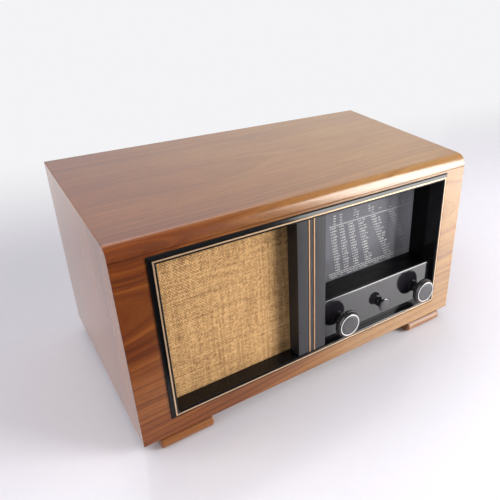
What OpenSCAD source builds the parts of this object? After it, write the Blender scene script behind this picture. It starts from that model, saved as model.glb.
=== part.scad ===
// Table radio with valves: a wooden case with a leaning front, a speaker window and a dial window.
// Millimetres. +Z is up, the front faces -Y, and the floor is at Z = 0 under the middle of the case.
// Most of the front is drawn in the front's own frame: x across, v up the leaning front from its
// bottom edge, and w out of it. A depth d behind the front is w = -d.

/* [Cabinet] */
// Width over the side boards
cab_w = 480; // [470:1:520]
// Height of the case without its feet
cab_h = 236; // [232:1:260]
// Depth of the case at the bottom
cab_d = 264; // [260:1:300]
// Backward lean of the front, in degrees
lean = 6; // [5:0.5:7]
// Thickness of the top, side and bottom boards
board_t = 12; // [11:0.5:13]
// Thickness of the front panel
front_t = 10; // [9:0.5:11]
// Radius of the rounded edge between top and front
nose_r = 14; // [10:1:18]
// Thickness of the solid rail behind that edge
nose_t = 16; // [15:0.5:17]

/* [Feet] */
// Height of the feet
foot_h = 16; // [12:1:20]
// Length of a foot along the front
foot_len = 64; // [50:1:80]
// Depth of a front foot behind its nose
foot_d = 40; // [30:1:50]
// How far a front foot stands in from the side of the case
foot_in = 18; // [10:1:30]
// How far the rounded nose stands out in front of the case
foot_nose = 3.5; // [2:0.5:5]
// Depth of a rear foot
rear_foot_d = 32; // [24:1:40]

/* [Fascia frame] */
// Wood left bare at each side of the frame
side_margin = 34.2; // [30:0.1:38]
// Wood left bare under the frame
bottom_margin = 22; // [20:0.1:24]
// Wood left bare over the frame, up to the top of the case
top_margin = 17.3; // [16:0.1:20]
// Width of the bevel round the outside
bevel_w = 4.6; // [4:0.1:6]
// Height of the ridge that the bevel climbs to
ridge_h = 3.7; // [3:0.1:4.2]
// Width of the bevel's steep outer foot
bevel_foot_w = 1.1; // [0.6:0.1:1.6]
// Height of that foot
bevel_foot_h = 1.8; // [1.2:0.1:2.2]
// Width of the gilt line
gilt_w = 1.6; // [1.2:0.1:2]
// Width of the black lip inside the gilt line
lip_w = 2.6; // [2:0.1:3]
// Slope that takes off the lip's inner edge
lip_slope = 1.2; // [0.6:0.1:1.6]
// Thickness of the frame's walls, which run back through the panel
wall_t = 5.5; // [5:0.1:5.6]
// Depth of the speaker cloth behind the front
cloth_d = 18; // [16:0.5:20]

/* [Post] */
// Width of the post between the two windows
post_w = 40.3; // [36:0.1:44]
// Height of the post's face over the front panel
post_h = 1.8; // [1:0.1:2.4]
// Width of each gilt strip, and of the dark groove to its left
post_groove_w = 1; // [0.6:0.1:1.4]
// Distance from strip to strip
post_gilt_gap = 7; // [5:0.5:9]

/* [Dial] */
// Width of the dial window, from the post to the frame's lip
dial_w = 193.7; // [190:0.1:200]
// Depth of the dial glass behind the front
glass_d = 47; // [46:0.5:48]
// Thickness of the dial glass
glass_t = 3; // [2:0.1:3]
// Thickness of the boards that line the recess
liner_t = 4; // [3:0.1:4]
// Height of the ledge before the glass over the window's bottom
ledge_h = 56.2; // [54:0.1:58]
// Distance from the glass's face to the dial's back plate
plate_gap = 13; // [12.5:0.5:14]
// How far the back plate's top edge, which carries the pointer, stands below the window's top
plate_drop = 11.2; // [11:0.1:12]
// Thickness of the sheet metal of the back plate and the chassis
sheet_t = 1.2; // [1:0.1:1.5]
// First place of the pointer, from the left end of the window
pointer_x = 26.7; // [24:0.1:30]

/* [Control panel] */
// Height of the control panel
panel_h = 60.3; // [58:0.1:62]
// Depth of its face behind the front
panel_d = 4.2; // [3.5:0.1:5]
// Thickness of the panel
panel_t = 3.5; // [2.5:0.1:4]
// Height of the three knob axes
knob_v = 57.3; // [55.5:0.1:58]
// First knob axis, from the left end of the dial window
knob_first = 29.2; // [28:0.1:32]
// Last knob axis, from the right end of the dial window
knob_last = 27; // [25:0.1:29]

/* [Knobs] */
// Radius of a large knob at its fluted skirt
skirt_r = 18.3; // [16:0.1:20]
// Number of flutes
flutes = 28; // [20:1:36]
// Radius of a flute
flute_r = 1.2; // [0.8:0.1:1.5]
// Height of the skirt's back over the front panel
skirt_w = 8.3; // [7.5:0.1:9]
// Height of a large knob's face over the front panel
face_w = 16.3; // [15.5:0.1:17]
// Radius of that face
face_r = 15.6; // [14:0.1:15.6]
// Outer radius of the white ring
ring_r = 14.8; // [13:0.1:15]
// Width of the white ring
ring_w = 1.2; // [0.8:0.1:1.6]
// Radius of the middle knob
button_r = 9; // [8:0.1:10]
// Height of the middle knob's face over the front panel
button_w = 7.5; // [6.5:0.5:8]
// Radius of every shaft
shaft_r = 3; // [2.5:0.05:3]
// Gap between a shaft and its bearing
run_gap = 0.05; // [0.03:0.01:0.08]

/* [Tuning drive] */
// Radius at which the cord lies on the drum
drum_r = 50; // [49:0.5:50]
// Radius at which the cord lies on the tuning spindle
spindle_r = 3.2; // [3.2:0.05:3.4]
// Radius at which the cord lies on a pulley
pulley_r = 7; // [6.5:0.1:7.5]
// Radius of the cord
cord_r = 0.5; // [0.4:0.05:0.5]
// Distance from the back plate's face to the cord
cord_gap = 4; // [4:0.1:4.2]
// Radius of the turning plates
vane_r = 28; // [26:0.5:28]
// Distance from plate to plate
vane_pitch = 3; // [2.8:0.1:3]
// Thickness of a plate
vane_t = 0.6; // [0.5:0.1:0.8]

/* [Speaker] */
// Outer radius of the speaker's rim
rim_r = 80; // [76:0.5:81]
// Radius of the hole in the baffle board
baffle_hole_r = 68; // [66:0.5:70]
// Thickness of the baffle board
baffle_t = 8; // [7:0.5:9]
// How far the cone can move each way
cone_travel = 1.5; // [1:0.1:1.5]

/* [Chassis] */
// Height of the chassis over the bottom board
chassis_h = 62; // [60:0.5:63]
// Depth of the chassis's front wall behind the front
apron_d = 36; // [35:0.5:37]
// Distance from the chassis to the back of the case
chassis_back = 24; // [22:1:26]
// Height of a small valve over its socket
small_valve_h = 80; // [60:1:95]
// Height of a power valve over its socket
power_valve_h = 95; // [70:1:105]

/* [Hidden] */
$fn = 48;

// The knobs reach furthest forward, so the origin is set back from them to the middle of the depth.
front_reach = face_w * cos(lean) - (knob_v - face_r) * sin(lean);
front_y = -(cab_d - front_reach) / 2;

// Place in the side view of a point at height v up the front and depth d behind it
function side_y(v, d) = v * sin(lean) + d * cos(lean);
function side_z(v, d) = v * cos(lean) - d * sin(lean);
function side(v, d) = [side_y(v, d), side_z(v, d)];
// Height up the front, at depth d, of a level at height z over the case's bottom
function level_v(z, d) = (z + d * sin(lean)) / cos(lean);
function level(z, d) = side(level_v(z, d), d);

nose_z = cab_h - nose_r;
nose_y = nose_z * tan(lean) + nose_r / cos(lean);
nose_tangent = [nose_y - nose_r * cos(lean), nose_z + nose_r * sin(lean)];
join_v = nose_tangent[1] / cos(lean) - 2;

frame_x = cab_w / 2 - side_margin;
frame_v0 = bottom_margin;
frame_v1 = cab_h / cos(lean) - top_margin;
lip = bevel_w + gilt_w + lip_w;
win_x = frame_x - lip;
win_v0 = frame_v0 + lip;
win_v1 = frame_v1 - lip;
post_x1 = win_x - dial_w;
post_x0 = post_x1 - post_w;

panel_v1 = win_v0 + panel_h;
ledge_v = win_v0 + ledge_h;
plate_d = glass_d + plate_gap;
plate_v = win_v1 - plate_drop;
cord_d = plate_d + cord_gap;
volume_x = post_x1 + knob_first;
tuning_x = win_x - knob_last;
selector_x = (volume_x + tuning_x) / 2;
bush_r = 4.5;

speaker_x = (post_x0 - win_x) / 2;
speaker_v = (win_v0 + win_v1) / 2;
cloth_t = 0.7;
baffle_d = cloth_d + cloth_t + 0.1;
rim_d = baffle_d + baffle_t;
coil_r = 13.2;
throat_d = rim_d + 31;
yoke_d = rim_d + 43;

mains_core = [60, 40, 70];
mains_x = win_x - 8.9;
valve_gap = 44;
power_x = mains_x - mains_core[0] / 2 - 24.1;
valve_x = power_x - 3 * valve_gap + 2;

chassis_z = board_t + chassis_h;
chassis_x0 = valve_x - 28;
chassis_x1 = cab_w / 2 - board_t - 6;
chassis_y1 = cab_d - chassis_back;

drum_x = post_x1 + 96.7;
drum_v = level_v(chassis_z, cord_d) + drum_r + 7;
left_pulley_x = post_x1 + 4.7;
right_pulley_x = win_x + 9;
pulley_v = plate_v + 3 - pulley_r;
wrap_pitch = 1.2;
carriage_w = 9;

valve_y = cab_d - 56;
valve_row_y = cab_d - 102;
socket_h = 4;

// Everything drawn in the front's own frame goes through here.
module on_front() {
    translate([0, front_y, foot_h]) rotate([90 - lean, 0, 0]) children();
}

// A side view, drawn from the front's bottom edge, stretched across the case
module along_x(width) {
    translate([0, front_y, foot_h]) rotate([90, 0, 90])
        linear_extrude(height = width, center = true) children();
}

// A box in the front's frame from depth d0 to depth d1
module front_box(x0, x1, v0, v1, d0, d1) {
    translate([x0, v0, -d1]) cube([x1 - x0, v1 - v0, d1 - d0]);
}

// A round bar in the front's frame from depth d0 to depth d1
module front_rod(x, v, r, d0, d1) {
    translate([x, v, -d1]) cylinder(r = r, h = d1 - d0);
}

// A solid of revolution about an axis out of the front: points are [radius, depth]
module front_turned(x, v, points) {
    translate([x, v, 0]) mirror([0, 0, 1]) rotate_extrude() polygon(points);
}

// One bar of a mitred frame: its section is drawn as [distance in, height]
module mitred_bar(len, reach) {
    intersection() {
        rotate([90, 0, 90]) linear_extrude(height = len) children();
        translate([0, 0, -60]) linear_extrude(height = 120)
            polygon([[-1, -1], [len + 1, -1], [len - reach, reach], [reach, reach]]);
    }
}

module mitred_frame(x0, x1, v0, v1, reach) {
    translate([x0, v0, 0]) mitred_bar(x1 - x0, reach) children();
    translate([x1, v0, 0]) rotate([0, 0, 90]) mitred_bar(v1 - v0, reach) children();
    translate([x1, v1, 0]) rotate([0, 0, 180]) mitred_bar(x1 - x0, reach) children();
    translate([x0, v1, 0]) rotate([0, 0, 270]) mitred_bar(v1 - v0, reach) children();
}

// Wooden case

module case_outline() {
    polygon([
        [0, 0], [cab_d, 0], [cab_d, cab_h], [nose_y, cab_h], [nose_y, nose_z], nose_tangent
    ]);
    translate([nose_y, nose_z]) circle(nose_r, $fn = 96);
}

module nose_outline() {
    polygon([
        side(join_v, -5), side(join_v, nose_t), side(join_v + 40, nose_t), side(join_v + 40, -5)
    ]);
}

module panel_outline(extra = 0) {
    polygon([
        side(-9, -9), side(-9, front_t + extra), side(join_v, front_t + extra), side(join_v, -9)
    ]);
}

module top_board() {
    color("#a5694a") along_x(cab_w) intersection() {
        case_outline();
        union() {
            translate([-20, cab_h - board_t]) square([cab_d + 40, board_t + 1]);
            nose_outline();
        }
    }
}

module side_board(way) {
    color("#a77a68") translate([way * (cab_w - board_t) / 2, 0, 0]) along_x(board_t) difference() {
        case_outline();
        translate([-20, cab_h - board_t]) square([cab_d + 40, board_t + 20]);
        nose_outline();
        panel_outline();
    }
}

module left_side() side_board(-1);

module right_side() side_board(1);

module bottom_board() {
    color("#8c6a4a") difference() {
        along_x(cab_w - 2 * board_t) difference() {
            square([cab_d, board_t]);
            panel_outline();
        }
        chassis_screw_places() translate([0, 0, -1]) cylinder(r = 2.4, h = board_t + 2);
    }
}

module front_panel() {
    color("#9c5a30") difference() {
        along_x(cab_w) intersection() {
            case_outline();
            panel_outline();
        }
        on_front() front_box(
            -frame_x + bevel_w - 1.4, frame_x - bevel_w + 1.4,
            frame_v0 + bevel_w - 1.4, frame_v1 - bevel_w + 1.4, -5, front_t + 5
        );
    }
}

// Four blocks in the rear corners take the back cover's screws, and one batten spaces the baffle.
module glue_blocks() {
    block = 20;
    color("#c9a878") {
        for (way = [-1, 1], z = [board_t, cab_h - board_t - block])
            translate([
                way > 0 ? cab_w / 2 - board_t - block : -cab_w / 2 + board_t,
                front_y + cab_d - 23, foot_h + z
            ]) cube([block, 15, block]);
        on_front() front_box(
            -frame_x - 14, -frame_x - 1, win_v0 + 8, win_v1 - 8, front_t, baffle_d
        );
    }
}

module front_feet() {
    r = foot_h / 2;
    color("#a5683c") for (way = [-1, 1])
        translate([way * (cab_w / 2 - foot_in - foot_len / 2), 0, -foot_h]) along_x(foot_len) {
            translate([r - foot_nose, r]) circle(r, $fn = 64);
            translate([r - foot_nose, 0]) square([foot_d - r, foot_h]);
        }
}

module rear_feet() {
    color("#8c5a38") for (way = [-1, 1])
        translate([way * (cab_w / 2 - foot_in - foot_len / 2), 0, -foot_h]) along_x(foot_len)
            translate([cab_d - rear_foot_d - 14, 0]) square([rear_foot_d, foot_h]);
}

module vent_slot() {
    translate([-19, 0]) circle(3);
    translate([19, 0]) circle(3);
    translate([-19, -3]) square([38, 6]);
}

// Hardboard back, let in between the boards, with rows of slots and openings for the sockets
module back_cover() {
    inner_w = cab_w - 2 * board_t - 0.6;
    inner_h = cab_h - 2 * board_t - 0.6;
    color("#6b4a30") translate([0, front_y + cab_d - 5, foot_h + board_t + 0.3]) rotate([90, 0, 0])
        linear_extrude(height = 3) difference() {
            translate([-inner_w / 2, 0]) square([inner_w, inner_h]);
            for (row = [0:5], col = [-3:3]) translate([col * 58, 92 + row * 18]) vent_slot();
            for (col = [-3:-1]) translate([col * 58, 40]) vent_slot();
            translate([aerial_x - 4, aerial_z - board_t - 4]) square([aerial_w + 8, aerial_h + 8]);
            translate([inlet_x - 4, inlet_z - board_t - 4]) square([inlet_w + 8, inlet_h + 8]);
        }
}

// Fascia

module frame_section() {
    polygon([
        [0, 0], [bevel_foot_w, bevel_foot_h], [bevel_w, ridge_h], [bevel_w, ridge_h - 1],
        [bevel_w + gilt_w, ridge_h - 1], [bevel_w + gilt_w, ridge_h], [lip - lip_slope, ridge_h],
        [lip, ridge_h - lip_slope], [lip, -cloth_d], [lip - wall_t, -cloth_d], [lip - wall_t, 0]
    ]);
}

module fascia_frame() {
    color("#17161a") on_front() mitred_frame(-frame_x, frame_x, frame_v0, frame_v1, 12)
        frame_section();
}

module frame_gilt() {
    color("#c9a063") on_front() mitred_frame(-frame_x, frame_x, frame_v0, frame_v1, 12)
        translate([bevel_w, ridge_h - 1]) square([gilt_w, 1.1]);
}

post_mid = (post_x0 + post_x1) / 2;
strip_x = [post_mid - post_gilt_gap / 2, post_mid + post_gilt_gap / 2];

module post() {
    color("#26252a") on_front() difference() {
        front_box(post_x0, post_x1, win_v0 + 0.05, win_v1 - 0.05, -post_h, cloth_d);
        for (x = strip_x) {
            front_box(x - gilt_w / 2, x + gilt_w / 2, 0, 400, -9, 1 - post_h);
            front_box(x - gilt_w / 2 - post_groove_w, x - gilt_w / 2, 0, 400, -9, 1.6 - post_h);
        }
    }
}

module post_gilt() {
    color("#c08a5c") on_front() for (x = strip_x) front_box(
        x - gilt_w / 2, x + gilt_w / 2, win_v0 + 0.05, win_v1 - 0.05, -post_h - 0.25, 1 - post_h
    );
}

// Coarse cloth stretched over the baffle board and held against the back of the frame
module speaker_cloth() {
    color("#c8a062") on_front() front_box(
        -win_x - wall_t + 0.5, post_x0 + 3, win_v0 - wall_t + 0.5, win_v1 + wall_t - 0.5,
        cloth_d, cloth_d + cloth_t
    );
}

module baffle_board() {
    color("#b08a5a") on_front() difference() {
        front_box(-frame_x - 14, post_x1 - 5, 16, win_v1 + 6, baffle_d, baffle_d + baffle_t);
        front_rod(speaker_x, speaker_v, baffle_hole_r, 0, 90);
    }
}

// Speaker

module speaker_basket() {
    color("#5c5e60") on_front() difference() {
        front_turned(speaker_x, speaker_v, [
            [rim_r, rim_d], [rim_r, rim_d + 1.5], [rim_r - 5, rim_d + 1.5],
            [34, yoke_d - 1.5], [34, yoke_d], [15, yoke_d], [15, yoke_d - 1.5],
            [32.6, yoke_d - 1.5], [rim_r - 7, rim_d + 1.5], [baffle_hole_r + 1, rim_d + 1.5],
            [baffle_hole_r + 1, rim_d]
        ]);
        for (turn = [0:60:300]) translate([speaker_x, speaker_v, 0]) rotate([0, 0, turn])
            translate([42, -10, -yoke_d + 3]) cube([24, 20, 36]);
    }
}

module speaker_magnet() {
    color("#3c3f42") on_front() front_turned(speaker_x, speaker_v, [
        [0, yoke_d - 8], [coil_r - 0.7, yoke_d - 8], [coil_r - 0.7, yoke_d + 22],
        [22, yoke_d + 22], [22, yoke_d + 6], [coil_r + 0.8, yoke_d + 6], [coil_r + 0.8, yoke_d],
        [32, yoke_d], [32, yoke_d + 30], [0, yoke_d + 30]
    ]);
}

module speaker_cone() {
    edge_r = baffle_hole_r - 1.5;
    edge_d = rim_d + 3;
    color("#4a4038") on_front() front_turned(speaker_x, speaker_v, [
        [coil_r + 0.3, throat_d], [edge_r - 8, edge_d], [edge_r, edge_d],
        [edge_r, edge_d + 0.6], [edge_r - 8, edge_d + 0.6], [coil_r + 0.3, throat_d + 0.8]
    ]);
}

module voice_coil() {
    color("#b87333") on_front() front_turned(speaker_x, speaker_v, [
        [coil_r - 0.3, throat_d - 1], [coil_r + 0.3, throat_d - 1],
        [coil_r + 0.3, yoke_d + 9], [coil_r - 0.3, yoke_d + 9]
    ]);
}

module dust_cap() {
    dome_r = 18;
    color("#3a332d") on_front() translate([speaker_x, speaker_v, -throat_d - 12])
        rotate_extrude() intersection() {
            difference() {
                circle(dome_r);
                circle(dome_r - 0.5);
            }
            translate([0, 13]) square([coil_r - 0.35, 10]);
        }
}

// Dial

// Side and top boards that lead back from the frame to the glass
module dial_recess() {
    x0 = post_x1 - 0.3;
    x1 = win_x + 1.4;
    v1 = win_v1 + 1.4;
    color("#131216") on_front() {
        front_box(x1, x1 + liner_t, ledge_v, v1, cloth_d, glass_d);
        front_box(x0 - liner_t, x0, ledge_v, v1, cloth_d, glass_d);
        front_box(x0 - liner_t, x1 + liner_t, v1, v1 + liner_t, cloth_d, glass_d);
    }
}

module dial_ledge() {
    color("#1a191c") on_front() difference() {
        union() {
            front_box(post_x1 + 0.05, win_x - 0.05, ledge_v - liner_t, ledge_v,
                panel_d + panel_t, cloth_d + 0.05);
            front_box(post_x1 - 0.3 - liner_t, win_x + 1.4 + liner_t, ledge_v - liner_t, ledge_v,
                cloth_d + 0.05, glass_d);
        }
        front_box(post_x1 - 9, win_x + 9, ledge_v - 0.8, ledge_v + 1, 34, 34.9);
    }
}

module dial_glass() {
    color("#3c3b42") on_front() front_box(
        post_x1 - 2.3, win_x + 9, ledge_v - liner_t - 1, win_v1 + 6.6, glass_d, glass_d + glass_t
    );
}

clip_x = [post_x1 + 4.7, win_x + 1];

// Lower clips have a sill for the glass to stand on, upper clips only bear on its back.
module glass_clips() {
    back_d = glass_d + glass_t;
    sill_v = ledge_v - liner_t - 1;
    color("#8a8d90") on_front() for (x = clip_x) {
        front_box(x, x + 6, sill_v - 1.2, sill_v, glass_d, back_d + 1.2);
        front_box(x, x + 6, sill_v, sill_v + 12, back_d, back_d + 1.2);
        front_box(x, x + 6, sill_v + 6, sill_v + 9, back_d + 1.2, plate_d);
        front_box(x, x + 6, plate_v - 12, plate_v - 2, back_d, back_d + 1.2);
        front_box(x, x + 6, plate_v - 8, plate_v - 5, back_d + 1.2, plate_d);
    }
}

module pulley_stud(x) {
    front_rod(x, pulley_v, 1.5, plate_d + 0.4, cord_d + 3);
    front_rod(x, pulley_v, 3, cord_d + 2.3, cord_d + 3);
}

// Dark metal plate behind the glass: its top edge is the pointer's rail, its foot stands on the chassis
module dial_backplate() {
    x0 = post_x1 - 20;
    x1 = win_x + 23.6;
    foot_y = level(chassis_z, plate_d)[0] - 7;
    color("#2b2c2e") {
        translate([(x0 + x1) / 2, 0, 0]) along_x(x1 - x0) polygon([
            [foot_y, chassis_z], level(chassis_z, plate_d + sheet_t), side(plate_v, plate_d + sheet_t),
            side(plate_v, plate_d), level(chassis_z + sheet_t, plate_d), [foot_y, chassis_z + sheet_t]
        ]);
        on_front() {
            pulley_stud(left_pulley_x);
            pulley_stud(right_pulley_x);
        }
    }
}

lamp_x = [post_x1 - 12.3, win_x + 16.4];
lamp_v = 135;

module dial_lamps() {
    color("#e8e2c8") on_front() for (x = lamp_x) translate([x, lamp_v, 5 - plate_d])
        rotate([-90, 0, 0]) rotate_extrude() {
            square([3.6, 14]);
            intersection() {
                translate([0, 14]) circle(3.6);
                translate([0, 14]) square(4);
            }
        }
}

module lamp_holders() {
    color("#9a8a60") on_front() for (x = lamp_x) {
        translate([x, lamp_v - 12, 5 - plate_d]) rotate([-90, 0, 0]) cylinder(r = 4.2, h = 12);
        front_box(x - 3, x + 3, lamp_v - 11, lamp_v - 3, plate_d - 2, plate_d);
    }
}

pointer_rest_x = post_x1 + pointer_x;

module pointer() {
    color("#c23b2a") on_front() front_box(
        pointer_rest_x - 0.5, pointer_rest_x + 0.5, ledge_v + 3, plate_v - 4,
        glass_d + glass_t + 3.5, glass_d + glass_t + 4.3
    );
}

// A saddle on the plate's top edge, with a channel for the cord
module pointer_carriage() {
    back_d = cord_d + 2;
    needle_d = glass_d + glass_t + 4.3;
    color("#b9bcc0") on_front() translate([pointer_rest_x, 0, 0]) difference() {
        front_box(-carriage_w, carriage_w, plate_v - 7, plate_v + 5, needle_d, back_d);
        front_box(-20, 20, plate_v - 9, plate_v + 0.15, plate_d - 0.2, plate_d + sheet_t + 0.2);
        translate([-20, plate_v + 3, -cord_d]) rotate([0, 90, 0]) cylinder(r = 0.9, h = 40);
        front_box(-20, 20, plate_v - 9, plate_v - 0.5, cord_d - 0.8, back_d + 1);
    }
}

// Tuning drive

// The cord is one closed loop, followed clockwise: left pulley, right pulley, spindle, drum.
cord_stops = [
    [left_pulley_x, pulley_v, pulley_r], [right_pulley_x, pulley_v, pulley_r],
    [tuning_x, knob_v, spindle_r], [drum_x, drum_v, drum_r]
];
// Full extra turns round each stop
cord_turns = [0, 0, 2, 0];

// Direction, seen from a stop's centre, of the point where the straight run to the next stop leaves
function leave_angle(a, b) = atan2(b[1] - a[1], b[0] - a[0])
    + acos((a[2] - b[2]) / norm([b[0] - a[0], b[1] - a[1]]));
function around(i) = (i + 4) % 4;
function arrive_at(i) = leave_angle(cord_stops[around(i - 1)], cord_stops[i]);
function leave_at(i) = leave_angle(cord_stops[i], cord_stops[around(i + 1)]);
function sweep_at(i) = ((arrive_at(i) - leave_at(i)) % 360 + 360) % 360 + 360 * cord_turns[i];
function arc_steps(i) = ceil(sweep_at(i) / 12);
function cord_arc(i) = [
    for (k = [0:arc_steps(i)])
        let (part = k / arc_steps(i), angle = arrive_at(i) - part * sweep_at(i), s = cord_stops[i])
        [
            s[0] + s[2] * cos(angle), s[1] + s[2] * sin(angle),
            -cord_d + wrap_pitch * cord_turns[i] * (0.5 - part)
        ]
];
cord_path = [for (i = [0:3]) each cord_arc(i)];

module drive_cord() {
    n = len(cord_path);
    sides = 8;
    rings = [
        for (i = [0:n - 1])
            let (
                ahead = cord_path[(i + 1) % n] - cord_path[(i + n - 1) % n],
                out = cross(ahead, [0, 0, 1]) / norm(cross(ahead, [0, 0, 1])),
                up = cross(out, ahead) / norm(ahead)
            )
            for (k = [0:sides - 1])
                cord_path[i] + cord_r * (cos(360 * k / sides) * out + sin(360 * k / sides) * up)
    ];
    color("#b8a888") on_front() polyhedron(points = rings, faces = [
        for (i = [0:n - 1], k = [0:sides - 1])
            let (a = i * sides, b = ((i + 1) % n) * sides, j = (k + 1) % sides)
            each [[a + k, a + j, b + j], [a + k, b + j, b + k]]
    ]);
}

module cord_pulley(x) {
    color("#d8d2c0") on_front() front_turned(x, pulley_v, [
        [1.5 + run_gap, cord_d - 2], [pulley_r + 1.5, cord_d - 2], [pulley_r + 1.5, cord_d - 1.6],
        [pulley_r - 0.8, cord_d - 0.7], [pulley_r - 0.8, cord_d + 0.7],
        [pulley_r + 1.5, cord_d + 1.6], [pulley_r + 1.5, cord_d + 2], [1.5 + run_gap, cord_d + 2]
    ]);
}

module left_pulley() cord_pulley(left_pulley_x);

module right_pulley() cord_pulley(right_pulley_x);

module drive_drum() {
    color("#a9abae") on_front() difference() {
        front_turned(drum_x, drum_v, [
            [shaft_r, cord_d + 1], [shaft_r, cord_d + 5.5], [8, cord_d + 5.5], [8, cord_d + 2.6],
            [drum_r + 1.5, cord_d + 2.6], [drum_r + 1.5, cord_d + 2], [drum_r - 0.8, cord_d + 0.8],
            [drum_r - 0.8, cord_d - 0.8], [drum_r + 1.5, cord_d - 2], [drum_r + 1.5, cord_d - 2.3],
            [drum_r - 4, cord_d - 2.3], [drum_r - 4, cord_d + 1.6], [8, cord_d + 1.6], [8, cord_d + 1]
        ]);
        for (turn = [45:90:315]) translate([drum_x, drum_v, 0]) rotate([0, 0, turn])
            front_rod(27, 0, 10, cord_d, cord_d + 5);
    }
}

// Closed coils with a hook post at each end, inside the drum's rim
module drum_spring() {
    color("#c9ccd0") on_front() translate([drum_x - 30, drum_v + 16, -cord_d + 0.6]) {
        rotate([0, 90, 0]) cylinder(r = 1.8, h = 26);
        translate([28, 0, -2.2]) cylinder(r = 1, h = 3.2);
        translate([25, -0.4, -0.4]) cube([3, 0.8, 0.8]);
    }
}

plates_d = cord_d + 10;
section_pitch = 22.5;
plates = 6;
frame_d1 = plates_d + section_pitch + plates * vane_pitch + 4;
frame_half = vane_r + 5;
frame_foot_v = drum_v - frame_half;

// End plates, a base, a top bar and two cheeks that stand on the chassis
module capacitor_frame() {
    t = 1.5;
    color("#a7aaad") {
        on_front() {
            for (d = [plates_d - 4, frame_d1 - t]) difference() {
                front_box(drum_x - frame_half, drum_x + frame_half, frame_foot_v,
                    drum_v + frame_half, d, d + t);
                front_rod(drum_x, drum_v, shaft_r + run_gap, d - 1, d + t + 1);
            }
            front_box(drum_x - frame_half, drum_x + frame_half, frame_foot_v, frame_foot_v + t,
                plates_d - 4 + t, frame_d1 - t);
            front_box(drum_x + frame_half - 4, drum_x + frame_half, drum_v + frame_half - 4,
                drum_v + frame_half, plates_d - 4 + t, frame_d1 - t);
        }
        for (x = [drum_x - frame_half + 1, drum_x + frame_half - 1])
            translate([x, 0, 0]) along_x(2) polygon([
                side(frame_foot_v, plates_d), side(frame_foot_v, frame_d1 - t),
                [side_y(frame_foot_v, frame_d1 - t), chassis_z],
                [side_y(frame_foot_v, plates_d), chassis_z]
            ]);
    }
}

module capacitor_stator() {
    color("#b5b8bb") on_front() {
        for (section = [0, 1], k = [0:plates]) {
            d = plates_d + section * section_pitch + k * vane_pitch;
            difference() {
                front_box(drum_x - frame_half + 2, drum_x - 0.8, drum_v - vane_r - 1,
                    drum_v + vane_r + 1, d, d + vane_t);
                front_rod(drum_x, drum_v, 9, d - 1, d + 2);
            }
        }
        for (v = [drum_v - vane_r + 2, drum_v + vane_r - 2])
            front_rod(drum_x - frame_half + 4.5, v, 1.5, plates_d - 2.5, frame_d1 - 1.5);
    }
}

module capacitor_rotor() {
    color("#c4c7ca") on_front() {
        front_rod(drum_x, drum_v, shaft_r, cord_d - 1, frame_d1 + 1);
        for (section = [0, 1]) {
            start = plates_d + section * section_pitch;
            front_rod(drum_x, drum_v, 6, start + 0.5, start + plates * vane_pitch);
            for (k = [0:plates - 1]) {
                d = start + (k + 0.5) * vane_pitch;
                intersection() {
                    front_rod(drum_x, drum_v, vane_r, d, d + vane_t);
                    front_box(drum_x - vane_r - 1, drum_x, drum_v - 60, drum_v + 60, 0, 200);
                }
            }
        }
    }
}

// Controls

module control_panel() {
    color("#202024") on_front() difference() {
        front_box(post_x1 + 0.1, win_x - 0.4, win_v0 + 0.2, panel_v1, panel_d, panel_d + panel_t);
        for (x = [volume_x, selector_x, tuning_x]) front_rod(x, knob_v, shaft_r + 1.5, 0, 40);
    }
}

// Large knob: a neck, a fluted skirt, a bevelled cap and a shallow dished face with a ring let in
module large_knob(x) {
    body_r = skirt_r - 1.2;
    color("#1e1d21") on_front() difference() {
        front_turned(x, knob_v, [
            [shaft_r, 2 - face_w], [shaft_r, panel_d - 1.5], [8, panel_d - 1.5], [8, -skirt_w],
            [skirt_r - 0.5, -skirt_w], [skirt_r, -skirt_w - 0.5], [skirt_r, -skirt_w - 3.5],
            [body_r, -skirt_w - 4], [face_r + 0.4, 0.9 - face_w], [face_r - 0.1, -face_w],
            [ring_r, -face_w], [ring_r, 0.8 - face_w], [ring_r - ring_w, 0.8 - face_w],
            [ring_r - ring_w, 0.35 - face_w], [0, 0.35 - face_w], [0, 2 - face_w]
        ]);
        for (k = [0:flutes - 1]) translate([x, knob_v, 0]) rotate([0, 0, 360 * k / flutes])
            front_rod(skirt_r + 0.5, 0, flute_r, -skirt_w - 4.2, 1 - skirt_w);
    }
}

module knob_ring(x) {
    color("#e9e6e0") on_front() front_turned(x, knob_v, [
        [ring_r - ring_w, 0.8 - face_w], [ring_r, 0.8 - face_w], [ring_r, -face_w],
        [ring_r - ring_w, -face_w]
    ]);
}

module volume_knob() large_knob(volume_x);

module volume_ring() knob_ring(volume_x);

module tuning_knob() large_knob(tuning_x);

module tuning_ring() knob_ring(tuning_x);

// Small knob with a trumpet neck and a slightly domed face
module selector_knob() {
    color("#1e1d21") on_front() front_turned(selector_x, knob_v, [
        [shaft_r, 2 - button_w], [shaft_r, panel_d - 1], [6.4, panel_d - 1], [5.4, panel_d - 3.5],
        [5.2, 6 - button_w], [6.4, 3.6 - button_w], [button_r - 0.6, 2.6 - button_w],
        [button_r, 2 - button_w], [button_r - 0.2, 1.1 - button_w], [button_r - 1.2, 0.5 - button_w],
        [4.5, 0.1 - button_w], [0, -button_w], [0, 2 - button_w]
    ]);
}

module volume_shaft() {
    color("#b9bcc0") on_front() front_rod(volume_x, knob_v, shaft_r, 2 - face_w, apron_d + 12);
}

module selector_shaft() {
    color("#b9bcc0") on_front() front_rod(selector_x, knob_v, shaft_r, 2 - button_w, apron_d + 34);
}

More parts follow.
